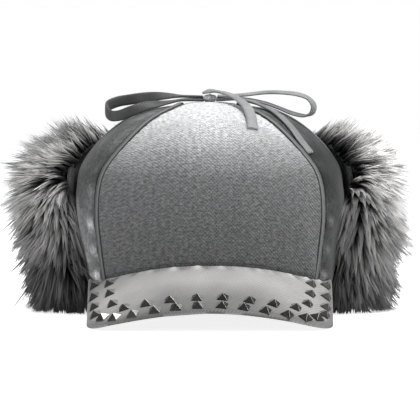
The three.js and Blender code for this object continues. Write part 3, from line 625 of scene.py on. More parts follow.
brushed, brushed_make, brushed_shader = new_material("brushed_cloth", 0.95, 0.12)
brushed_place = brushed_make("ShaderNodeTexCoord").outputs["Object"]
brushed_parts = brushed_make("ShaderNodeSeparateXYZ", {0: brushed_place})
brushed_nap = noise(brushed_make, brushed_place, 420.0, 4.0)
brushed_patch = noise(brushed_make, brushed_place, 70.0, 3.0)
brushed_colour = ramp(brushed_make, brushed_patch, [(0.3, 0.13), (0.5, 0.19), (0.7, 0.34)])
brushed_grain = ramp(brushed_make, brushed_nap, [(0.3, 0.6), (0.7, 1.4)])
# Painted shade: a dark band beside the seam, for the shadow in the grooves along the piping.
brushed_seam_shade = over(
    brushed_make,
    read_attribute(brushed_make, "from_seam"),
    0.0,
    30.0,
    [(0.0, 0.12), (0.14, 0.14), (0.19, 0.9), (0.35, 1.1), (1.0, 0.85)],
)
brushed_upper = over(
    brushed_make,
    brushed_parts.outputs["Z"],
    0.02,
    0.155,
    [(0.0, 1.5), (0.2, 1.1), (0.4, 0.9), (0.5, 0.5), (0.6, 0.3), (0.72, 0.2), (0.82, 0.4), (1.0, 0.5)],
)
# Painted shade: the cloth darkens from left to right, darkest on the right panel, for the shade it lies in
# there.
brushed_right_shade = over(
    brushed_make,
    brushed_parts.outputs["X"],
    -0.1,
    0.1,
    [(0.0, 1.0), (0.35, 0.8), (0.65, 0.75), (0.85, 0.45), (0.91, 0.24), (0.95, 0.14), (1.0, 0.1)],
)
# Painted light and shade on the gathers: lighter on their ridges, darker in their hollows.
brushed_gather_light_and_shade = over(
    brushed_make,
    read_attribute(brushed_make, "gather"),
    -1.2,
    1.2,
    [(0.0, 0.5), (0.4, 0.9), (0.6, 1.3), (1.0, 2.2)],
)
paint(
    brushed_make,
    brushed_shader,
    brushed_colour,
    brushed_grain,
    brushed_upper,
    brushed_right_shade,
    brushed_seam_shade,
    brushed_gather_light_and_shade,
)
bump(brushed_make, brushed_shader, brushed_nap, 0.0005, 0.5)
for hand, side_name in ((1, "right"), (-1, "left")):
    sided = to_frame(side_points * np.array([hand, 1, 1]))
    side_piece = new_mesh(f"crown_side_{side_name}", sided, grid_faces(side_rows, side_columns))
    set_attribute(side_piece, "from_seam", side_off)
    set_attribute(side_piece, "gather", side_low * hump(side_off - 9, 7) * side_wave)
    face_out(side_piece)
    shell(side_piece, brushed, crown_wall, lining)
    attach(side_piece, "root")
    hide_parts(f"crown_side_panel_{side_name}")

# Piping: a corded welt sewn into each crown seam, flattened by the stitches on both sides of it.
welt_half, welt_rise = 2.4, 1.2
welt_count = 281
welt_along = np.linspace(0, 1, welt_count)
welt_turn = first_turn[-1] + (last_turn[-1] - first_turn[-1]) * welt_along
welt_line = across_panel(welt_turn, np.ones(welt_count))
welt_out = crown_normal(welt_line)
welt_forward = unit(np.gradient(welt_line, axis=0))
welt_across = np.cross(welt_forward, welt_out)
welt_distance = arc_length(welt_line[:, None])[:, 0]
welt_around = 16
welt_turns = np.linspace(0, 2 * math.pi, welt_around + 1)[:-1]
welt_profile = np.stack(
    [welt_half * boxed(np.cos(welt_turns), 0.8), welt_rise * boxed(np.sin(welt_turns), 0.8)], -1
)
welt_gather = ripple(21)


def tube_faces(rows, around):
    """Faces of a tube of rings, with both ends closed."""
    i, j = np.meshgrid(np.arange(rows - 1), np.arange(around), indexing="ij")
    a = (i * around + j).ravel()
    b = (i * around + (j + 1) % around).ravel()
    faces = [tuple(f) for f in np.stack([a, b, b + around, a + around], -1)]
    faces.append(tuple(range(around))[::-1])
    faces.append(tuple(range((rows - 1) * around, rows * around)))
    return faces


welt_swell = 1 + 0.07 * welt_gather(welt_distance, 6.0)
welt_points = (
    welt_line[:, None]
    + welt_across[:, None] * welt_profile[None, :, :1]
    + welt_out[:, None] * (0.35 + welt_profile[None, :, 1:] * welt_swell[:, None, None])
)
welt_cloth, welt_make, welt_shader = new_material("piping_cloth", 0.85, 0.2)
welt_uv = welt_make("ShaderNodeUVMap", uv_map="cloth")
welt_parts = welt_make("ShaderNodeSeparateXYZ", {0: welt_uv.outputs[0]})
# Painted light and shade round the welt: dark at its sides and underneath, where it is shaded, with a
# painted highlight just to one side of its top.
welt_light_and_shade = ramp(
    welt_make,
    welt_parts.outputs["Y"],
    [
        (0.0, 0.02), (0.08, 0.04), (0.16, 0.075), (0.24, 0.08),
        (0.3, 0.17), (0.36, 0.16), (0.42, 0.04), (1.0, 0.02),
    ],
)
welt_threads = noise(welt_make, welt_uv.outputs[0], 500.0, 2.0)
paint(welt_make, welt_shader, welt_light_and_shade, ramp(welt_make, welt_threads, [(0.3, 0.75), (0.7, 1.2)]))
bump(welt_make, welt_shader, welt_threads, 0.0003, 0.5)
for hand, side_name in ((1, "right"), (-1, "left")):
    sided = to_frame(welt_points * np.array([hand, 1, 1]))
    welt = new_mesh(f"piping_{side_name}", sided, tube_faces(welt_count, welt_around))
    set_uv(welt, welt_distance[:, None] * mm, np.arange(welt_around) / welt_around)
    if hand < 0:
        welt.data.flip_normals()
    welt.data.materials.append(welt_cloth)
    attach(welt, "root")
    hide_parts(f"seam_piping_{side_name}")

# Peak: a stiff board covered in satin twill, turned over its edge and gathered into the crown seam.
peak_reach, peak_half_width, peak_tip_angle, peak_tip_width = 69.0, 85.0, math.radians(67), 3.0
peak_thickness, peak_seam_lift, peak_front_drop, peak_corner_drop = 3.4, 1.5, 26.5, 12.5
sewn_gap = 0.3
peak_tip = crown_point(peak_tip_angle, rim_height(peak_tip_angle), sewn_gap)


def bezier(points, t):
    """Points on a Bezier curve of any order."""
    points = [np.array(p, float) for p in points]
    t = np.asarray(t)[:, None]
    while len(points) > 1:
        points = [a * (1 - t) + b * t for a, b in zip(points, points[1:])]
    return points[0]


peak_front = -(crown_front + peak_reach)
peak_corner_front = -(crown_front + peak_reach * 0.86)
peak_side_y = -(crown_front + peak_reach * 0.55)
peak_before = np.array([peak_half_width * 0.8, peak_corner_front])
peak_ease = np.array([peak_half_width * 0.62, peak_corner_front - peak_reach * 0.09])
peak_aim = peak_before - peak_ease
peak_corner_x = peak_half_width * 0.995
peak_corner = (peak_corner_x, peak_before[1] + (peak_corner_x - peak_before[0]) * peak_aim[1] / peak_aim[0])
peak_after = (peak_half_width, peak_side_y)
peak_side_end = (peak_tip[0] + peak_tip_width, peak_tip[1])
peak_side_ease = (peak_half_width + peak_tip_width / 2, (peak_side_y + peak_tip[1]) / 2)
fine = np.linspace(0, 1, 400)
peak_line = np.concatenate(
    [
        bezier([(0, peak_front), (peak_half_width * 0.42, peak_front), peak_ease, peak_before], fine),
        bezier([peak_before, peak_corner, peak_after], fine)[1:],
        bezier([peak_after, peak_side_ease, peak_side_end], fine)[1:],
    ]
)
peak_line_length = arc_length(peak_line[:, None])[:, 0]


def peak_rim(share):
    """Places on the half outline of the peak at shares of its length."""
    at = share * peak_line_length[-1]
    return np.stack([np.interp(at, peak_line_length, peak_line[:, k]) for k in (0, 1)], -1)


def peak_edge_height(x, y):
    seam = rim_rise + peak_seam_lift
    front_height = seam - peak_front_drop
    corner_y = -(crown_front + peak_reach * 0.7)
    rows = [
        (corner_y - peak_front, peak_half_width**2, -peak_corner_drop),
        (
            peak_tip[1] - peak_front,
            (peak_tip[0] + peak_tip_width) ** 2,
            peak_tip[2] + peak_seam_lift - front_height,
        ),
    ]
    whole = rows[0][0] * rows[1][1] - rows[1][0] * rows[0][1]
    slope = (rows[0][2] * rows[1][1] - rows[1][2] * rows[0][1]) / whole
    arch = (rows[0][0] * rows[1][2] - rows[1][0] * rows[0][2]) / whole
    return front_height + slope * (y - peak_front) + arch * x**2


def peak_face(across, forward):
    """Points on the peak's top: across from -1 to 1, forward from the seam (0) to the edge (1)."""
    across, forward = np.broadcast_arrays(across, forward)
    angle = across * peak_tip_angle
    seam = crown_point(angle, rim_height(angle), sewn_gap)
    seam[..., 2] += peak_seam_lift
    edge = peak_rim(np.abs(across).ravel()).reshape(*across.shape, 2)
    x = np.sign(across) * edge[..., 0]
    edge = np.stack([x, edge[..., 1], peak_edge_height(edge[..., 0], edge[..., 1])], -1)
    return seam + (edge - seam) * forward[..., None]


peak_columns, peak_rows, peak_under = 241, 49, 17
peak_across = np.linspace(-1, 1, peak_columns)
upper = peak_face(peak_across[None, :], np.linspace(0, 1, peak_rows)[:, None])
peak_forward = arc_length(upper)
peak_sideways = arc_length(upper.swapaxes(0, 1)).T
peak_pleat = ripple(31)
peak_wave = ripple(32)
puckers = 0.9 * (1 - hump(peak_forward, 1.8)) * hump(peak_forward, 6)
puckers = puckers * peak_pleat(peak_sideways[:1], 12.5)
slack = 0.3 * peak_wave(peak_sideways[:1] + 0.4 * peak_forward, 42) * np.minimum(peak_forward / 12, 1)
bulge_share = peak_forward / peak_forward[-1:]
bulge = 0.9
upper[..., 2] += puckers + slack + bulge * 4 * bulge_share * (1 - bulge_share)
to_edge = peak_forward[-1:] - peak_forward
edge_round = 1.7
drop = np.maximum(edge_round - to_edge, 0)
upper[..., 2] -= edge_round - np.sqrt(np.maximum(edge_round**2 - drop**2, 0))
under = peak_face(peak_across[None, :], np.linspace(1, 0, peak_under)[:, None])
under_drop = arc_length(under)
under[..., 2] -= peak_thickness
rounding = np.maximum(edge_round - under_drop, 0)
under[..., 2] += edge_round - np.sqrt(np.maximum(edge_round**2 - rounding**2, 0))
peak_points = np.swapaxes(np.concatenate([upper, under]), 0, 1)
peak_piece = new_mesh("peak_cover", to_frame(peak_points), tube_faces(*peak_points.shape[:2]))
set_uv(peak_piece, peak_points[..., 0] * mm, peak_points[..., 1] * mm)
none_under = np.zeros(under.shape[:2])
for name, above, below in (
    ("to_edge", np.maximum(to_edge, 0), -under_drop),
    ("from_seam", peak_forward, none_under + 50.0),
    ("pucker", puckers, none_under),
):
    set_attribute(peak_piece, name, np.concatenate([above, below]).swapaxes(0, 1))

twill, twill_make, twill_shader = new_material("satin_twill", 0.5, 0.4)
twill_uv = twill_make("ShaderNodeUVMap", uv_map="cloth").outputs[0]
twill_parts = twill_make("ShaderNodeSeparateXYZ", {0: twill_uv}).outputs
twill_pitch = 0.0024
twill_slant = maths(twill_make, "MULTIPLY_ADD", twill_parts["Y"], -0.62, twill_parts["X"])
twill_turn = maths(twill_make, "MULTIPLY", twill_slant, 2 * math.pi / twill_pitch)
twill_shift = maths(twill_make, "MULTIPLY_ADD", noise(twill_make, twill_uv, 160.0, 2.0), 2.6, twill_turn)
twill_height = maths(twill_make, "MULTIPLY_ADD", maths(twill_make, "SINE", twill_shift), 0.5, 0.5)
twill_ribs = ramp(twill_make, twill_height, [(0.0, 0.86), (1.0, 1.06)])
twill_blotch = noise(twill_make, twill_uv, 45.0, 4.0)
twill_tone = ramp(twill_make, twill_blotch, [(0.3, (0.3, 0.292, 0.285)), (0.7, (0.37, 0.36, 0.352))])
twill_out = maths(twill_make, "ABSOLUTE", twill_parts["X"])
twill_side = twill_make("ShaderNodeMapRange", {"Value": twill_out, "From Min": 0.03, "From Max": 0.065})
twill_inset = read_attribute(twill_make, "to_edge")
# Painted shade: the twill darkens steadily towards the front edge, more in the middle than at the sides,
# and is painted dark over the whole underside.
twill_centre_edge_shade = over(
    twill_make,
    twill_inset,
    -6.0,
    62.0,
    [(0.0, 0.26), (0.155, 0.28), (0.17, 0.36), (0.38, 0.42), (0.6, 0.66), (0.8, 0.93), (1.0, 1.0)],
)
twill_side_edge_shade = over(
    twill_make,
    twill_inset,
    -6.0,
    62.0,
    [(0.0, 0.34), (0.165, 0.38), (0.18, 0.55), (0.3, 0.8), (0.5, 0.95), (1.0, 1.0)],
)
twill_edge_shade = twill_make(
    "ShaderNodeMix", {0: twill_side.outputs[0], 6: twill_centre_edge_shade, 7: twill_side_edge_shade}, data_type="RGBA"
).outputs[2]
# Painted light and shade on the puckers by the seam: lighter on their crests, darker in their dips.
twill_pucker_light_and_shade = over(
    twill_make, read_attribute(twill_make, "pucker"), -0.8, 0.8, [(0.0, 0.62), (0.5, 1.0), (1.0, 1.6)]
)
# Painted shadow: a dark line within about a millimetre of the crown seam.
twill_seam_shadow = ramp(
    twill_make, read_attribute(twill_make, "from_seam"), [(0.0, 0.25), (0.6, 0.3), (1.0, 1.0)]
)
paint(twill_make, twill_shader, twill_tone, twill_ribs, twill_edge_shade, twill_pucker_light_and_shade, twill_seam_shadow)
bump(twill_make, twill_shader, twill_height, 0.00025, 0.7)
peak_piece.data.materials.append(twill)
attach(peak_piece, "root")
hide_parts("peak")

# Studs: cast pyramids with two prongs through the cloth, darkened metal polished on their corners, with
# painted light and shade on their faces.
stud_metal, stud_make, stud_shader = new_material("darkened_metal", 0.34)
stud_wear = noise(stud_make, stud_make("ShaderNodeTexCoord").outputs["Object"], 420.0, 3.0)
# Painted light and shade: faces painted light where they would be lit, near black where they would be
# shaded, lighter again on the worn bevels.
stud_painted_light = ramp(
    stud_make,
    read_attribute(stud_make, "face_light_and_worn_edges"),
    [
        (0.0, (0.01, 0.01, 0.009)),
        (0.3, (0.05, 0.05, 0.045)),
        (0.6, (0.22, 0.22, 0.21)),
        (1.0, (0.48, 0.47, 0.45)),
    ],
)
paint(stud_make, stud_shader, stud_painted_light, ramp(stud_make, stud_wear, [(0.3, 0.7), (0.7, 1.2)]))
stud_rough = stud_make("ShaderNodeMapRange", {"Value": stud_wear, "To Min": 0.25, "To Max": 0.45})
stud_metal.node_tree.links.new(stud_rough.outputs[0], stud_shader.inputs["Roughness"])
stud_shader.inputs["Metallic"].default_value = 0.55
stud_half, stud_skirt, stud_height = 3.7, 0.6, 4.1


def stud_shape():
    """One stud: a square pyramid on a low skirt, with its edges worn round, and painted light and shade on
    its faces.
    """
    corners = [(-1, -1), (1, -1), (1, 1), (-1, 1)]
    points = [(x * stud_half, y * stud_half, 0) for x, y in corners]
    points += [(x * stud_half, y * stud_half, stud_skirt) for x, y in corners]
    points.append((0, 0, stud_height))
    faces = [(3, 2, 1, 0)]
    for i in range(4):
        j = (i + 1) % 4
        faces += [(i, j, 4 + j, 4 + i), (4 + i, 4 + j, 8)]
    stud = new_mesh("stud", np.array(points) * mm, faces, smooth=False)
    stud_build = bmesh.new()
    stud_build.from_mesh(stud.data)
    face_light_and_worn_edges = stud_build.faces.layers.float.new("face_light_and_worn_edges")
    stud_build.normal_update()
    # Each face is painted lighter or darker by the way it faces: light on the +x and +y faces, as lit, dark
    # on the others, as shaded.
    for face in stud_build.faces:
        x, y = face.normal.x, face.normal.y
        face[face_light_and_worn_edges] = 1.05 * max(x, 0) + 0.95 * max(y, 0)
        face[face_light_and_worn_edges] += 0.3 * max(-y, 0) + 0.2 * max(-x, 0)
    sharp = [edge for edge in stud_build.edges if max(v.co.z for v in edge.verts) > 1.1 * stud_skirt * mm]
    bevelled = bmesh.ops.bevel(stud_build, geom=sharp, offset=0.1 * mm, segments=1, affect="EDGES")
    # The bevelled edges are lighter, worn to polish.
    for face in bevelled["faces"]:
        face[face_light_and_worn_edges] = 0.8
    stud_build.to_mesh(stud.data)
    stud_build.free()
    bpy.context.collection.objects.unlink(stud)
    return stud


def set_inputs(modifier, values):
    """Gives a geometry nodes modifier its inputs, by their names in the tree."""
    for item in modifier.node_group.interface.items_tree:
        if item.in_out == "INPUT" and item.name in values:
            modifier[item.identifier] = values[item.name]


def apply_nodes(piece, tree, values, name):
    """The plain mesh that a tree makes from a piece, as a piece of its own."""
    modifier = piece.modifiers.new("nodes", "NODES")
    modifier.node_group = tree
    set_inputs(modifier, values)
    bpy.context.view_layer.update()
    seen = piece.evaluated_get(bpy.context.evaluated_depsgraph_get())
    mesh = bpy.data.meshes.new_from_object(seen)
    piece.modifiers.remove(modifier)
    mesh.name = name
    made = bpy.data.objects.new(name, mesh)
    bpy.context.collection.objects.link(made)
    return made


def new_tree(name, inputs):
    """An empty geometry nodes tree: its node maker, and its inputs by name."""
    tree = bpy.data.node_groups.new(name, "GeometryNodeTree")
    for label, kind in inputs.items():
        tree.interface.new_socket(label, in_out="INPUT", socket_type=f"NodeSocket{kind}")
    tree.interface.new_socket("Geometry", in_out="OUTPUT", socket_type="NodeSocketGeometry")
    make = node_maker(tree)
    return tree, make, make("NodeGroupInput").outputs


stud_tree, stud_node, stud_given = new_tree(
    "studs_in_place", {"Places": "Geometry", "Stud": "Object", "Metal": "Material"}
)
stud_out = stud_node("GeometryNodeInputNamedAttribute", {"Name": "out"}, data_type="FLOAT_VECTOR")
stud_side = stud_node("GeometryNodeInputNamedAttribute", {"Name": "sideways"}, data_type="FLOAT_VECTOR")
stud_stand = stud_node("FunctionNodeAlignRotationToVector", {"Vector": stud_out.outputs[0]}, axis="Z")
stud_turn = stud_node(
    "FunctionNodeAlignRotationToVector",
    {"Rotation": stud_stand.outputs[0], "Vector": stud_side.outputs[0]},
    axis="X",
    pivot_axis="Z",
)
stud_given_shape = stud_node("GeometryNodeObjectInfo", {"Object": stud_given["Stud"]})
stud_dots = stud_node("GeometryNodeMeshToPoints", {"Mesh": stud_given["Places"]})
stud_set = stud_node(
    "GeometryNodeInstanceOnPoints",
    {
        "Points": stud_dots.outputs[0],
        "Instance": stud_given_shape.outputs["Geometry"],
        "Rotation": stud_turn.outputs[0],
    },
)
stud_real = stud_node("GeometryNodeRealizeInstances", {"Geometry": stud_set.outputs[0]})
stud_clad = stud_node(
    "GeometryNodeSetMaterial", {"Geometry": stud_real.outputs[0], "Material": stud_given["Metal"]}
)
stud_node("NodeGroupOutput", {0: stud_clad.outputs[0]})

stud_names = sorted(name for name in frame["nodes"] if name.startswith("stud_"))
stud_places, stud_outs, stud_sides = [], [], []
cover = upper.reshape(-1, 3)
for name in stud_names:
    # A stud's solid gives its apex, the way it stands and the line of its sides.
    solid = frame["nodes"][name].data
    corners = np.unique(np.round(np.array([tuple(v.co) for v in solid.vertices]), 6), axis=0)
    apex = corners[corners[:, 2].argmax()]
    foot = corners[np.linalg.norm(corners - apex, axis=1) > 1e-5]
    out_way = apex - foot.mean(0)
    out_way /= np.linalg.norm(out_way)
    rises = (foot - foot.mean(0)) @ out_way
    base = foot[rises < rises.mean()]
    base_middle = base.mean(0)
    wide = base[np.linalg.norm(base - base_middle, axis=1) > stud_half * mm]
    wide = wide[np.argsort(wide[:, 0])]
    side_way = wide[2:].mean(0) - wide[:2].mean(0)
    side_way /= np.linalg.norm(side_way)
    # It stands on the cover, and turns with the edge towards the corners of the peak. Studs on the right
    # turn a quarter turn more, so that their faces painted light look towards the middle and the crown.
    spot = base_middle / mm - set_down
    gaps = np.linalg.norm(cover[:, :2] - spot[:2], axis=1)
    spot[2] = max(spot[2], cover[gaps.argsort()[:4], 2].mean())
    cornered = math.exp(-(((abs(spot[0]) - 75) / 22) ** 2)) * (spot[1] < peak_corner_front + 14)
    yaw = math.radians(-8 - 34 * cornered if spot[0] < 0 else 82 - 34 * cornered)
    stud_places.append((spot + set_down) * mm)
    stud_outs.append(out_way)
    stud_sides.append(side_way * math.cos(yaw) + np.cross(out_way, side_way) * math.sin(yaw))
stud_spots = new_mesh("stud_spots", stud_places, [])
set_attribute(stud_spots, "out", stud_outs, "FLOAT_VECTOR")
set_attribute(stud_spots, "sideways", stud_sides, "FLOAT_VECTOR")
one_stud = stud_shape()
studs = apply_nodes(stud_spots, stud_tree, {"Stud": one_stud, "Metal": stud_metal}, "studs")
bpy.data.objects.remove(stud_spots)
bpy.data.objects.remove(one_stud)
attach(studs, "root")
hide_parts(*stud_names)

# Flaps: cloth cut in one with the rim, folded out under it and up against the crown.
flap_gap, flap_wall = 4.4, 3.0
ear_span = (math.radians(86), math.radians(139))
neck_span = (math.radians(141), math.radians(219))
ear_height, ear_front_share, neck_height = 99, 0.86, 64


def ear_top(share):
    rise = np.sin(np.minimum(share * 2.2, 1) * math.pi / 2)
    return ear_height * (ear_front_share + (1 - ear_front_share) * rise)


def neck_top(share):
    return neck_height + 0 * share


def flap_shape(span, top, columns):
    """Rings of a flap, one for each place across it: up the outside and back down the inside."""
    across = np.linspace(0, 1, columns)
    angle = span[0] + (span[1] - span[0]) * across
    height = top(across)
    near, far = flap_gap, flap_gap + flap_wall
    rises = np.linspace(0.03, 1, 24)
    under = -sewn_gap - flap_wall

    def level_ring(grow, z):
        ring = crown_point(angle, 0 * angle, grow)
        ring[:, 2] = z
        return ring

    rings = [level_ring(grow, under) for grow in (-crown_wall, 0.0, near)]
    rings += [level_ring(far - 0.8, -sewn_gap - flap_wall * 0.75), level_ring(far, -sewn_gap)]
    rings += [crown_point(angle, rise * height, far) for rise in rises]
    rings.append(crown_point(angle, height + 0.9, (near + far) / 2 + 0.6))
    rings += [crown_point(angle, rise * height, near) for rise in rises[::-1]]
    rings += [level_ring(grow, -sewn_gap) for grow in (near, 0.0, -crown_wall)]
    return np.stack(rings, 1)


flap_cloth, flap_make, flap_shader = new_material("flap_cloth", 0.9, 0.2)
flap_grain = noise(flap_make, flap_make("ShaderNodeTexCoord").outputs["Object"], 800.0, 3.0)
paint(flap_make, flap_shader, ramp(flap_make, flap_grain, [(0.3, 0.07), (0.7, 0.16)]))
bump(flap_make, flap_shader, flap_grain, 0.0004, 0.5)
for name, span, top, hand, columns in (
    ("ear_flap_right", ear_span, ear_top, 1, 61),
    ("ear_flap_left", ear_span, ear_top, -1, 61),
    ("neck_flap", neck_span, neck_top, 1, 91),
):
    shape = flap_shape(span, top, columns)
    shape = to_frame(shape * np.array([hand, 1, 1]))
    flap = new_mesh(f"{name}_cloth", shape, tube_faces(*shape.shape[:2]))
    if hand > 0:
        flap.data.flip_normals()
    flap.data.materials.append(flap_cloth)
    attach(flap, "root")
    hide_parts(name)

# Fur: long pile on a knitted back, sewn to the outside of each flap. It lies up and out at the top
# of a flap, out at its ends and down at the rim, and its hairs cling together in pointed locks.
fur_seat = flap_gap + flap_wall + 1.4
fur_depth = 22.0
fur_foot = -set_down[2]


def lock_shape(name, seed, hairs, spread, length, width):
    """A lock: a few flat tapering hairs that start apart and come together at the tip."""
    picks = np.random.default_rng(seed)
    points, faces, along = [], [], []
    for hair in range(hairs):
        angle = 2 * math.pi * (hair + picks.uniform(0, 0.6)) / hairs
        root = spread * picks.uniform(0.35, 1.0) * np.array([math.cos(angle) * 0.5, math.sin(angle)])
        reach = length * picks.uniform(0.7, 1.0)
        tip = root * picks.uniform(-0.05, 0.2) + picks.normal(0, 0.3, 2)
        bend = -length * picks.uniform(0.12, 0.3)
        half = width * picks.uniform(0.7, 1.2)
        turn = picks.uniform(-0.5, 0.5)
        start = len(points)
        for share, size in ((0.0, 0.8), (0.4, 1.0)):
            centre = root * (1 - share) + tip * share + np.array([bend * share**2, 0])
            for corner in range(3):
                spin = turn + corner * 2 * math.pi / 3
                offset = np.array([math.cos(spin) * 0.3, math.sin(spin)]) * half * size
                points.append((*((centre + offset) * mm), reach * share * mm))
                along.append(share)
        points.append((*((tip + np.array([bend, 0])) * mm), reach * mm))
        along.append(1.0)
        for corner in range(3):
            after = (corner + 1) % 3
            faces.append((start + corner, start + after, start + 3 + after, start + 3 + corner))
            faces.append((start + 3 + corner, start + 3 + after, start + 6))
        faces.append((start + 2, start + 1, start))
    made = new_mesh(name, points, faces)
    set_attribute(made, "along", along)
    bpy.context.collection.objects.unlink(made)
    return made


def fur_tree():
    """Geometry nodes that set locks on a pad, each pointing along the pad's flow."""
    tree, make, given = new_tree(
        "fur_locks",
        {
            "Pad": "Geometry",
            "Locks": "Collection",
            "Lock Count Per Square Metre": "Float",
            "Seed": "Int",
            "Ruffle": "Float",
            "Fur": "Material",
        },
    )
    spots = make(
        "GeometryNodeDistributePointsOnFaces",
        {"Mesh": given["Pad"], "Density": given["Lock Count Per Square Metre"], "Seed": given["Seed"]},
    )
    flow = make("GeometryNodeInputNamedAttribute", {"Name": "flow"}, data_type="FLOAT_VECTOR")
    length = make("GeometryNodeInputNamedAttribute", {"Name": "lock_length"}, data_type="FLOAT")
    jitter = make(
        "FunctionNodeRandomValue",
        {"Min": (-1, -1, -1), "Max": (1, 1, 1), "Seed": 3},
        data_type="FLOAT_VECTOR",
    )
    ruffled = make(
        "ShaderNodeVectorMath", {0: jitter.outputs["Value"], "Scale": given["Ruffle"]}, operation="SCALE"
    )
    heading = make("ShaderNodeVectorMath", {0: flow.outputs[0], 1: ruffled.outputs[0]}, operation="ADD")
    pointing = make("FunctionNodeAlignRotationToVector", {"Vector": heading.outputs[0]}, axis="Z")
    upright = make(
        "FunctionNodeAlignRotationToVector",
        {"Rotation": pointing.outputs[0], "Vector": (0, 0, 1)},
        axis="X",
        pivot_axis="Z",
    )
    stretch = make("FunctionNodeRandomValue", {2: 0.75, 3: 1.2, "Seed": 5}, data_type="FLOAT")
    size = make("ShaderNodeMath", {0: stretch.outputs[1], 1: length.outputs[0]}, operation="MULTIPLY")
    shape = make("ShaderNodeCombineXYZ", {"X": 1.0, "Y": 1.0, "Z": size.outputs[0]})
    locks = make(
        "GeometryNodeCollectionInfo",
        {"Collection": given["Locks"], "Separate Children": True, "Reset Children": True},
    )
    pick = make("FunctionNodeRandomValue", {4: 0, 5: 5, "Seed": 7}, data_type="INT")
    set_locks = make(
        "GeometryNodeInstanceOnPoints",
        {
            "Points": spots.outputs["Points"],
            "Instance": locks.outputs[0],
            "Pick Instance": True,
            "Instance Index": pick.outputs[2],
            "Rotation": upright.outputs[0],
            "Scale": shape.outputs[0],
        },
    )
    toned = make("FunctionNodeRandomValue", {2: 0.0, 3: 1.0, "Seed": 9}, data_type="FLOAT")
    stored = make(
        "GeometryNodeStoreNamedAttribute",
        {"Geometry": set_locks.outputs[0], "Name": "tone", "Value": toned.outputs[1]},
        data_type="FLOAT",
        domain="INSTANCE",
    )
    real = make("GeometryNodeRealizeInstances", {"Geometry": stored.outputs[0]})
    clad = make("GeometryNodeSetMaterial", {"Geometry": real.outputs[0], "Material": given["Fur"]})
    make("NodeGroupOutput", {0: clad.outputs[0]})
    return tree


fur, fur_make, fur_shader = new_material("long_fur", 0.62, 0.0)
fur_shader.inputs["Specular IOR Level"].default_value = 0.35
fur_place = fur_make("ShaderNodeTexCoord").outputs["Object"]
fur_parts = fur_make("ShaderNodeSeparateXYZ", {0: fur_place}).outputs
fur_root_to_tip = ramp(
    fur_make,
    read_attribute(fur_make, "along"),
    [
        (0.0, (0.03, 0.03, 0.029)),
        (0.35, (0.16, 0.157, 0.153)),
        (0.7, (0.5, 0.49, 0.48)),
        (1.0, (0.9, 0.89, 0.88)),
    ],
)
fur_both = maths(fur_make, "ADD", read_attribute(fur_make, "tone"), read_attribute(fur_make, "lock_tone"))
fur_each = over(fur_make, fur_both, 0.0, 2.0, [(0.0, 0.35), (0.5, 0.85), (1.0, 1.5)])
fur_patches = ramp(fur_make, noise(fur_make, fur_place, 38.0, 2.0), [(0.35, 0.65), (0.65, 1.15)])
# Painted light and shade: the fur is painted lighter towards the outer side of each flap, much lighter on
# the right, as lit from the right, and darker near the crown and over the back.
fur_side_light_and_shade = over(
    fur_make,
    fur_parts["X"],
    -0.16,
    0.16,
    [
        (0.0, 1.3), (0.1, 1.1), (0.17, 0.75), (0.23, 0.95), (0.5, 0.6),
        (0.8, 0.75), (0.86, 1.3), (0.92, 1.9), (1.0, 3.0),
    ],
)
# Painted light and shade: the fur is painted dark low down by the floor and lighter higher up, as lit from
# above.
fur_height_light_and_shade = over(
    fur_make,
    fur_parts["Z"],
    0.0,
    0.13,
    [(0.0, 0.28), (0.2, 0.42), (0.38, 0.6), (0.55, 1.0), (0.7, 1.25), (0.85, 1.3), (1.0, 1.0)],
)
paint(fur_make, fur_shader, fur_root_to_tip, fur_each, fur_patches, fur_side_light_and_shade, fur_height_light_and_shade)

under_fur, under_make, under_shader = new_material("under_fur", 1.0)
under_stretch = under_make(
    "ShaderNodeVectorMath",
    {0: under_make("ShaderNodeTexCoord").outputs["Object"], 1: (1, 1, 0.25)},
    operation="MULTIPLY",
)
under_hairs = noise(under_make, under_stretch.outputs[0], 900.0, 3.0)
paint(under_make, under_shader, ramp(under_make, under_hairs, [(0.35, 0.01), (0.7, 0.06)]))
bump(under_make, under_shader, under_hairs, 0.003, 1.0)

lock_kinds = bpy.data.collections.new("lock_kinds")
for kind in range(6):
    lock_kinds.objects.link(lock_shape(f"lock_{kind}", 40 + kind, 5, 2.4, 30, 1.75))
locks_tree = fur_tree()


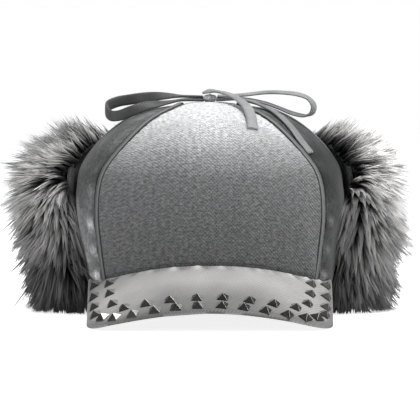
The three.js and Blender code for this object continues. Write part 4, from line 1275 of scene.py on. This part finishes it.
def fur_pad(name, span, top, columns, rows, hand, seed, wrap):
    """The dense under-fur of a flap, with the flow and length of the locks at each point."""
    share, rise = np.meshgrid(np.linspace(0, 1, columns), np.linspace(0, 1, rows), indexing="ij")
    wrapped = 0 * share
    if wrap:
        wrapped = np.clip(1 - share / 0.08, 0, 1) ** 2 * np.interp(rise, [0.72, 0.9], [1, 0])
    angle = span[0] + (span[1] - span[0]) * share - math.radians(3.0) * wrapped
    low = fur_foot + 13
    height = low + (top(share) + 1 - low) * rise
    brow = np.clip((rise - 0.9) / 0.1, 0, 1) ** 2

    def at(depth):
        points = crown_point(angle, np.maximum(height, 0), fur_seat + depth)
        points[..., 2] = height
        return points

    base = at(0.0)
    away = unit(at(1.0) - base)
    around = (1 - np.abs(2 * share - 1) ** 5) ** 0.5
    upward = np.where(rise > 0.5, (1 - np.abs(2 * rise - 1) ** 6) ** 0.5, 1.0)
    depth = 0.6 + fur_depth * around * upward - 6.5 * np.maximum(1.4 * wrapped, brow)
    outer = base + away * depth[..., None]
    normal = np.cross(np.gradient(outer, axis=0), np.gradient(outer, axis=1))
    normal /= np.maximum(np.linalg.norm(normal, axis=-1, keepdims=True), 1e-9)
    normal *= np.sign((normal * away).sum(-1).mean())
    sideways = unit(np.gradient(base, axis=0))
    end = 2 * share - 1
    up = np.array([0, 0, 1.0])
    lift = np.interp(rise, [0, 0.35, 0.7, 0.85, 1], [-1.0, -0.75, -0.4, 0.1, 0.6])
    flow = (0.55 - 1.1 * wrapped)[..., None] * away + 0.3 * normal
    flow = unit(flow + sideways * (0.4 * end**3)[..., None] + up * lift[..., None])
    # Round each of some picked spots the hairs lean together.
    picks = np.random.default_rng(seed)
    count = int(outer[::4, ::4, 0].size / 1.2)
    spots = outer.reshape(-1, 3)
    centres = spots[picks.choice(columns * rows, count, replace=False)]
    nearest = ((spots[:, None] - centres[None]) ** 2).sum(-1).argmin(1)
    toward = (centres[nearest] - spots) / 30.0
    flow = unit(flow.reshape(-1, 3) + 0.5 * toward + 0.14 * picks.normal(0, 1, (count, 3))[nearest])
    length = picks.uniform(0.75, 1.2, count)[nearest]
    length = length * np.interp(rise.ravel(), [0, 0.3, 0.8, 1], [0.9, 1.15, 1.0, 0.8])
    mirror = np.array([hand, 1, 1])
    pad = new_mesh(f"{name}_pad", to_frame(outer * mirror), grid_faces(columns, rows))
    set_attribute(pad, "flow", flow * mirror, "FLOAT_VECTOR")
    set_attribute(pad, "lock_length", length)
    set_attribute(pad, "lock_tone", picks.uniform(0, 1, count)[nearest])
    face_out(pad)
    return pad


def rest_on_floor(piece, clear=0.4):
    """Bends the hairs that reach the floor so that they lie on it, and keeps them off the crown."""
    mesh = piece.data
    points = np.empty(len(mesh.vertices) * 3)
    mesh.vertices.foreach_get("co", points)
    points = points.reshape(-1, 3) / mm - set_down
    floor_level = -set_down[2] + clear
    low = points[:, 2] < floor_level
    points[low, 2] = floor_level + 0.02 * (floor_level - points[low, 2])
    level = crown_level(np.maximum(points, [-1e9, -1e9, 0.0]), 1.5)
    inside = (level < 0) & (points[:, 2] > 0)
    points[inside] = leave_crown(crown_core, points[inside] - crown_core, 1.5)
    mesh.vertices.foreach_set("co", ((points + set_down) * mm).ravel())
    mesh.update()


for name, span, top, hand, columns, rows, seed, locks in (
    ("ear_fur_right", ear_span, ear_top, 1, 71, 57, 51, 2600),
    ("ear_fur_left", ear_span, ear_top, -1, 71, 57, 52, 2600),
    ("neck_fur", neck_span, neck_top, 1, 91, 41, 53, 2500),
):
    pad = fur_pad(name, span, top, columns, rows, hand, seed, name != "neck_fur")
    area = sum(face.area for face in pad.data.polygons)
    given = {"Locks": lock_kinds, "Lock Count Per Square Metre": locks / area, "Seed": seed}
    given.update({"Ruffle": 0.16, "Fur": fur})
    hairs = apply_nodes(pad, locks_tree, given, f"{name}_locks")
    rest_on_floor(hairs)
    pad.data.materials.append(under_fur)
    pad_wall = pad.modifiers.new("wall", "SOLIDIFY")
    pad_wall.thickness = 2.5 * mm
    pad_wall.offset = -1
    for part in (hairs, pad):
        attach(part, "root")
        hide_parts(name)
for kind in list(lock_kinds.objects):
    bpy.data.objects.remove(kind)
bpy.data.collections.remove(lock_kinds)

# Straps and bow: a woven band from behind each ear flap over the crown, tied on top in a bow with
# two loops and two cut ends. The band is satin faced and turns on edge where the loops stand.
strap_half, strap_thick = 4.0, 1.0


def crown_top(x, y):
    x, y = np.broadcast_arrays(np.asarray(x, float), np.asarray(y, float))
    start = np.stack([x, y, np.full(x.shape, crown_height / 2)], -1)
    return leave_crown(start, np.broadcast_to(np.array([0, 0, 1.0]), start.shape))


def smooth_path(points, count):
    """Evenly spaced rows on a centripetal curve through rows that each begin with a place."""
    points = np.asarray(points, float)
    steps = np.linalg.norm(np.diff(points[:, :3], axis=0), axis=1) ** 0.5
    knots = np.concatenate([[0], np.cumsum(steps)])
    padded = np.concatenate([[2 * points[0] - points[1]], points, [2 * points[-1] - points[-2]]])
    times = np.concatenate([[-steps[0]], knots, [knots[-1] + steps[-1]]])
    wanted = np.linspace(0, knots[-1], count * 8)
    i = np.clip(np.searchsorted(knots, wanted, side="right"), 1, len(knots) - 1)
    t0, t1, t2, t3 = (times[i - 1 + k][:, None] for k in range(4))
    p0, p1, p2, p3 = (padded[i - 1 + k] for k in range(4))
    t = wanted[:, None]
    a1 = (t1 - t) / (t1 - t0) * p0 + (t - t0) / (t1 - t0) * p1
    a2 = (t2 - t) / (t2 - t1) * p1 + (t - t1) / (t2 - t1) * p2
    a3 = (t3 - t) / (t3 - t2) * p2 + (t - t2) / (t3 - t2) * p3
    b1 = (t2 - t) / (t2 - t0) * a1 + (t - t0) / (t2 - t0) * a2
    b2 = (t3 - t) / (t3 - t1) * a2 + (t - t1) / (t3 - t1) * a3
    curve = (t2 - t) / (t2 - t1) * b1 + (t - t1) / (t2 - t1) * b2
    length = arc_length(curve[:, None, :3])[:, 0]
    even = np.linspace(0, length[-1], count)
    return np.stack([np.interp(even, length, column) for column in curve.T], -1)


band_cloth, band_make, band_shader = new_material("satin_band", 0.42, 0.3)
band_uv = band_make("ShaderNodeUVMap", uv_map="cloth").outputs[0]
band_parts = band_make("ShaderNodeSeparateXYZ", {0: band_uv}).outputs
band_rib_pitch = 0.0012
band_turn = maths(band_make, "MULTIPLY", band_parts["X"], 2 * math.pi / band_rib_pitch)
band_height = maths(band_make, "MULTIPLY_ADD", maths(band_make, "SINE", band_turn), 0.5, 0.5)
band_tone = ramp(band_make, noise(band_make, band_uv, 60.0, 3.0), [(0.3, 0.15), (0.7, 0.24)])
band_ribs = ramp(band_make, band_height, [(0.0, 0.85), (1.0, 1.05)])
# Painted light and shade: each band carries its own level, painted dark for a band in shade and bright for
# one in light, as copies of one satin.
band_painted_light = ramp(band_make, read_attribute(band_make, "painted_light_level"), [(0.0, 0.2), (0.5, 1.0), (1.0, 3.2)])
paint(band_make, band_shader, band_tone, band_ribs, band_painted_light)
bump(band_make, band_shader, band_height, 0.0002, 0.6)
band_around = 16


def band_mesh(name, places, outwards, painted_light_level):
    """A band with full, rounded edges along places, in the crown's millimetres."""
    forward = unit(np.gradient(places, axis=0))
    across = unit(np.cross(forward, outwards))
    out = np.cross(across, forward)
    turns = np.linspace(0, 2 * math.pi, band_around + 1)[:-1] + math.pi / band_around
    wide, thick = strap_half * boxed(np.cos(turns), 0.7), strap_thick * boxed(np.sin(turns), 0.7)
    points = places[:, None] + across[:, None] * wide[:, None] + out[:, None] * thick[:, None]
    distance = arc_length(places[:, None])[:, 0]
    made = new_mesh(name, to_frame(points), tube_faces(len(places), band_around))
    set_uv(made, distance[:, None] * mm, wide * mm)
    set_attribute(made, "painted_light_level", np.full(len(places) * band_around, painted_light_level))
    made.data.materials.append(band_cloth)
    return made, distance[-1]


def declare_band(piece, node, places):
    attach(piece, "root")
    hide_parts(node)
    route = to_frame(places[:: max(len(places) // 30, 1)])
    last = to_frame(places[-1:])
    if np.linalg.norm(route[-1] - last[0]) > 1e-6:
        route = np.concatenate([route, last])
    tuple(float(v) for v in to_frame(places[0]))
    [tuple(float(v) for v in p) for p in route]


strap_angle = math.radians(101)
strap_share = (strap_angle - ear_span[0]) / (ear_span[1] - ear_span[0])
strap_start = crown_point(strap_angle, ear_top(strap_share) - 10)
strap_inside = np.array([0, strap_start[1] * 0.6, crown_height * 0.55])
strap_goal = crown_top(0.6, 11.0) - strap_inside
strap_turn = np.linspace(0, 1, 13)[:, None]
strap_way = (strap_start - strap_inside) * (1 - strap_turn) + strap_goal * strap_turn
strap_on = leave_crown(strap_inside, strap_way)
strap_lift = np.clip((strap_turn - 0.55) / 0.25, 0, 1)
strap_lift = strap_lift**2 * (3 - 2 * strap_lift)
strap_knots = strap_on + crown_normal(strap_on) * (1.6 + 2.1 * strap_lift)
for hand, side_name in ((1, "right"), (-1, "left")):
    places = smooth_path(strap_knots * np.array([hand, 1, 1]), 90)
    # The straps get a middle painted light level.
    strap, length = band_mesh(f"strap_{side_name}_band", places, crown_normal(places), 0.4)
    declare_band(strap, f"strap_{side_name}", places)

# The loops turn on the way: each row is x, y, height over the crown and the direction of the width.
loop_left = [
    (-5.6, 3, 4.4, 0, 1, 0),
    (-21, 2, 6, 0, 1, 0.1),
    (-33.7, 4.5, 8.2, 0, 0.8, 0.6),
    (-46.3, 8.5, 10.6, 0, 0.35, 0.95),
    (-59.6, 9, 14.6, 0, 0, 1),
    (-68.7, 6.5, 18.8, 0, 0, 1),
    (-75.5, 0, 20.9, 0, 0, 1),
    (-76, -7, 17.8, 0, 0, 1),
    (-72.1, -14, 11.6, 0, 0, 1),
    (-66.1, -18, 7.8, 0, 0, 1),
    (-58, -20, 6, 0, 0.1, 1),
    (-46.3, -19, 4.8, 0, 0.6, 0.8),
    (-36.9, -16, 3.8, 0, 0.85, 0.45),
    (-29.6, -13, 3.4, 0, 0.97, 0.2),
    (-20.9, -9, 3.2, 0, 1, 0),
    (-5.6, -3, 1.8, 0, 1, 0),
]
loop_right = [
    (5.6, 2, 4.8, 0, 1, 0.1),
    (24, 2, 7.3, 0, 1, 0.2),
    (40.9, 1, 12.5, 0.1, 1, 0.25),
    (53.4, 0, 16.6, 0.2, 1, 0.25),
    (65.7, -1, 21.9, 0.4, 0.9, 0.2),
    (73.2, -1.5, 24.2, 0.5, 0.85, 0),
    (76.5, -2, 21.9, 0.5, 0.85, 0),
    (75.1, -2, 15.8, 0.5, 0.85, 0),
    (70.7, -2, 10.1, 0.45, 0.85, 0.1),
    (61.2, -1.5, 5.2, 0.3, 0.95, 0.2),
    (52.2, -1, 4.2, 0.1, 1, 0.2),
    (40.9, 0, 4.6, 0, 1, 0.2),
    (24, 1, 4.4, 0, 1, 0.15),
    (5.6, 2, 2, 0, 1, 0.1),
]
tail_front = [
    (-4.4, -3, 7.5), (-1.8, -4, 8.3), (2.6, -5, 8.4), (9.3, -10, 7.8), (16.5, -20, 6.6),
    (22.5, -33, 5), (27, -47, 4), (29.6, -60, 2.4), (30.4, -70, 1.6),
]
tail_right = [
    (5.6, -7.6, 2.2), (14, -10.5, 3.4), (26, -14, 4.2), (38, -19, 2.8), (46.5, -28, 1.8),
    (53, -39, 1.6), (59.5, -49, 1.6), (65.5, -57, 1.6), (72, -60, 1.6),
]
# Painted light levels: the left loop is painted dark, as shaded, the right loop and the tails lighter, as
# lit.
for node, table, far_end, painted_light_level in (
    ("bow_loop_left", loop_left, "object", 0.05),
    ("bow_loop_right", loop_right, "object", 0.53),
    ("bow_tail_front", tail_front, "bare", 0.55),
    ("bow_tail_right", tail_right, "bare", 0.45),
):
    table = np.array(table, float)
    knots = crown_top(table[:, 0], table[:, 1]) + np.array([0, 0, 1.0]) * table[:, 2:3]
    rows = smooth_path(np.concatenate([knots, table[:, 3:]], -1), 110)
    places = rows[:, :3]
    if rows.shape[1] > 3:
        outwards = np.cross(rows[:, 3:], np.gradient(places, axis=0))
    else:
        outwards = crown_normal(crown_top(places[:, 0], places[:, 1]))
    band, length = band_mesh(f"{node}_band", places, outwards, painted_light_level)
    declare_band(band, node, places)

# Knot: the band wrapped once round the crossing, pinched at its ends.
knot_rows, knot_around = 25, 32
knot_share = np.linspace(-1, 1, knot_rows)
knot_turns = np.linspace(0, 2 * math.pi, knot_around + 1)[:-1]
knot_swell = (1 - np.abs(knot_share) ** 2.6 * 0.55)[:, None]
knot_fold = 1 + 0.05 * np.sin(3 * knot_turns)[None] + 0.06 * np.cos(9 * knot_share)[:, None]
knot_half_long, knot_half_wide, knot_half_high, knot_lift = 5.0, 5.8, 3.0, 3.3
knot_ring = np.stack(
    np.broadcast_arrays(
        knot_half_long * knot_share[:, None],
        knot_half_wide * knot_swell * knot_fold * np.cos(knot_turns)[None],
        knot_half_high * knot_swell * knot_fold * np.sin(knot_turns)[None],
    ),
    -1,
)
knot_points = knot_ring + crown_top(0, 0) + np.array([0, 0, knot_lift])
knot = new_mesh("bow_knot_wrap", to_frame(knot_points), tube_faces(knot_rows, knot_around))
set_uv(knot, knot_points[..., 1] * mm, knot_points[..., 0] * mm)
# Painted light: the knot is painted much brighter than the bands, as lit.
set_attribute(knot, "painted_light_level", np.full(knot_rows * knot_around, 1.0))
knot.data.materials.append(band_cloth)
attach(knot, "root")
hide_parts("bow_knot")
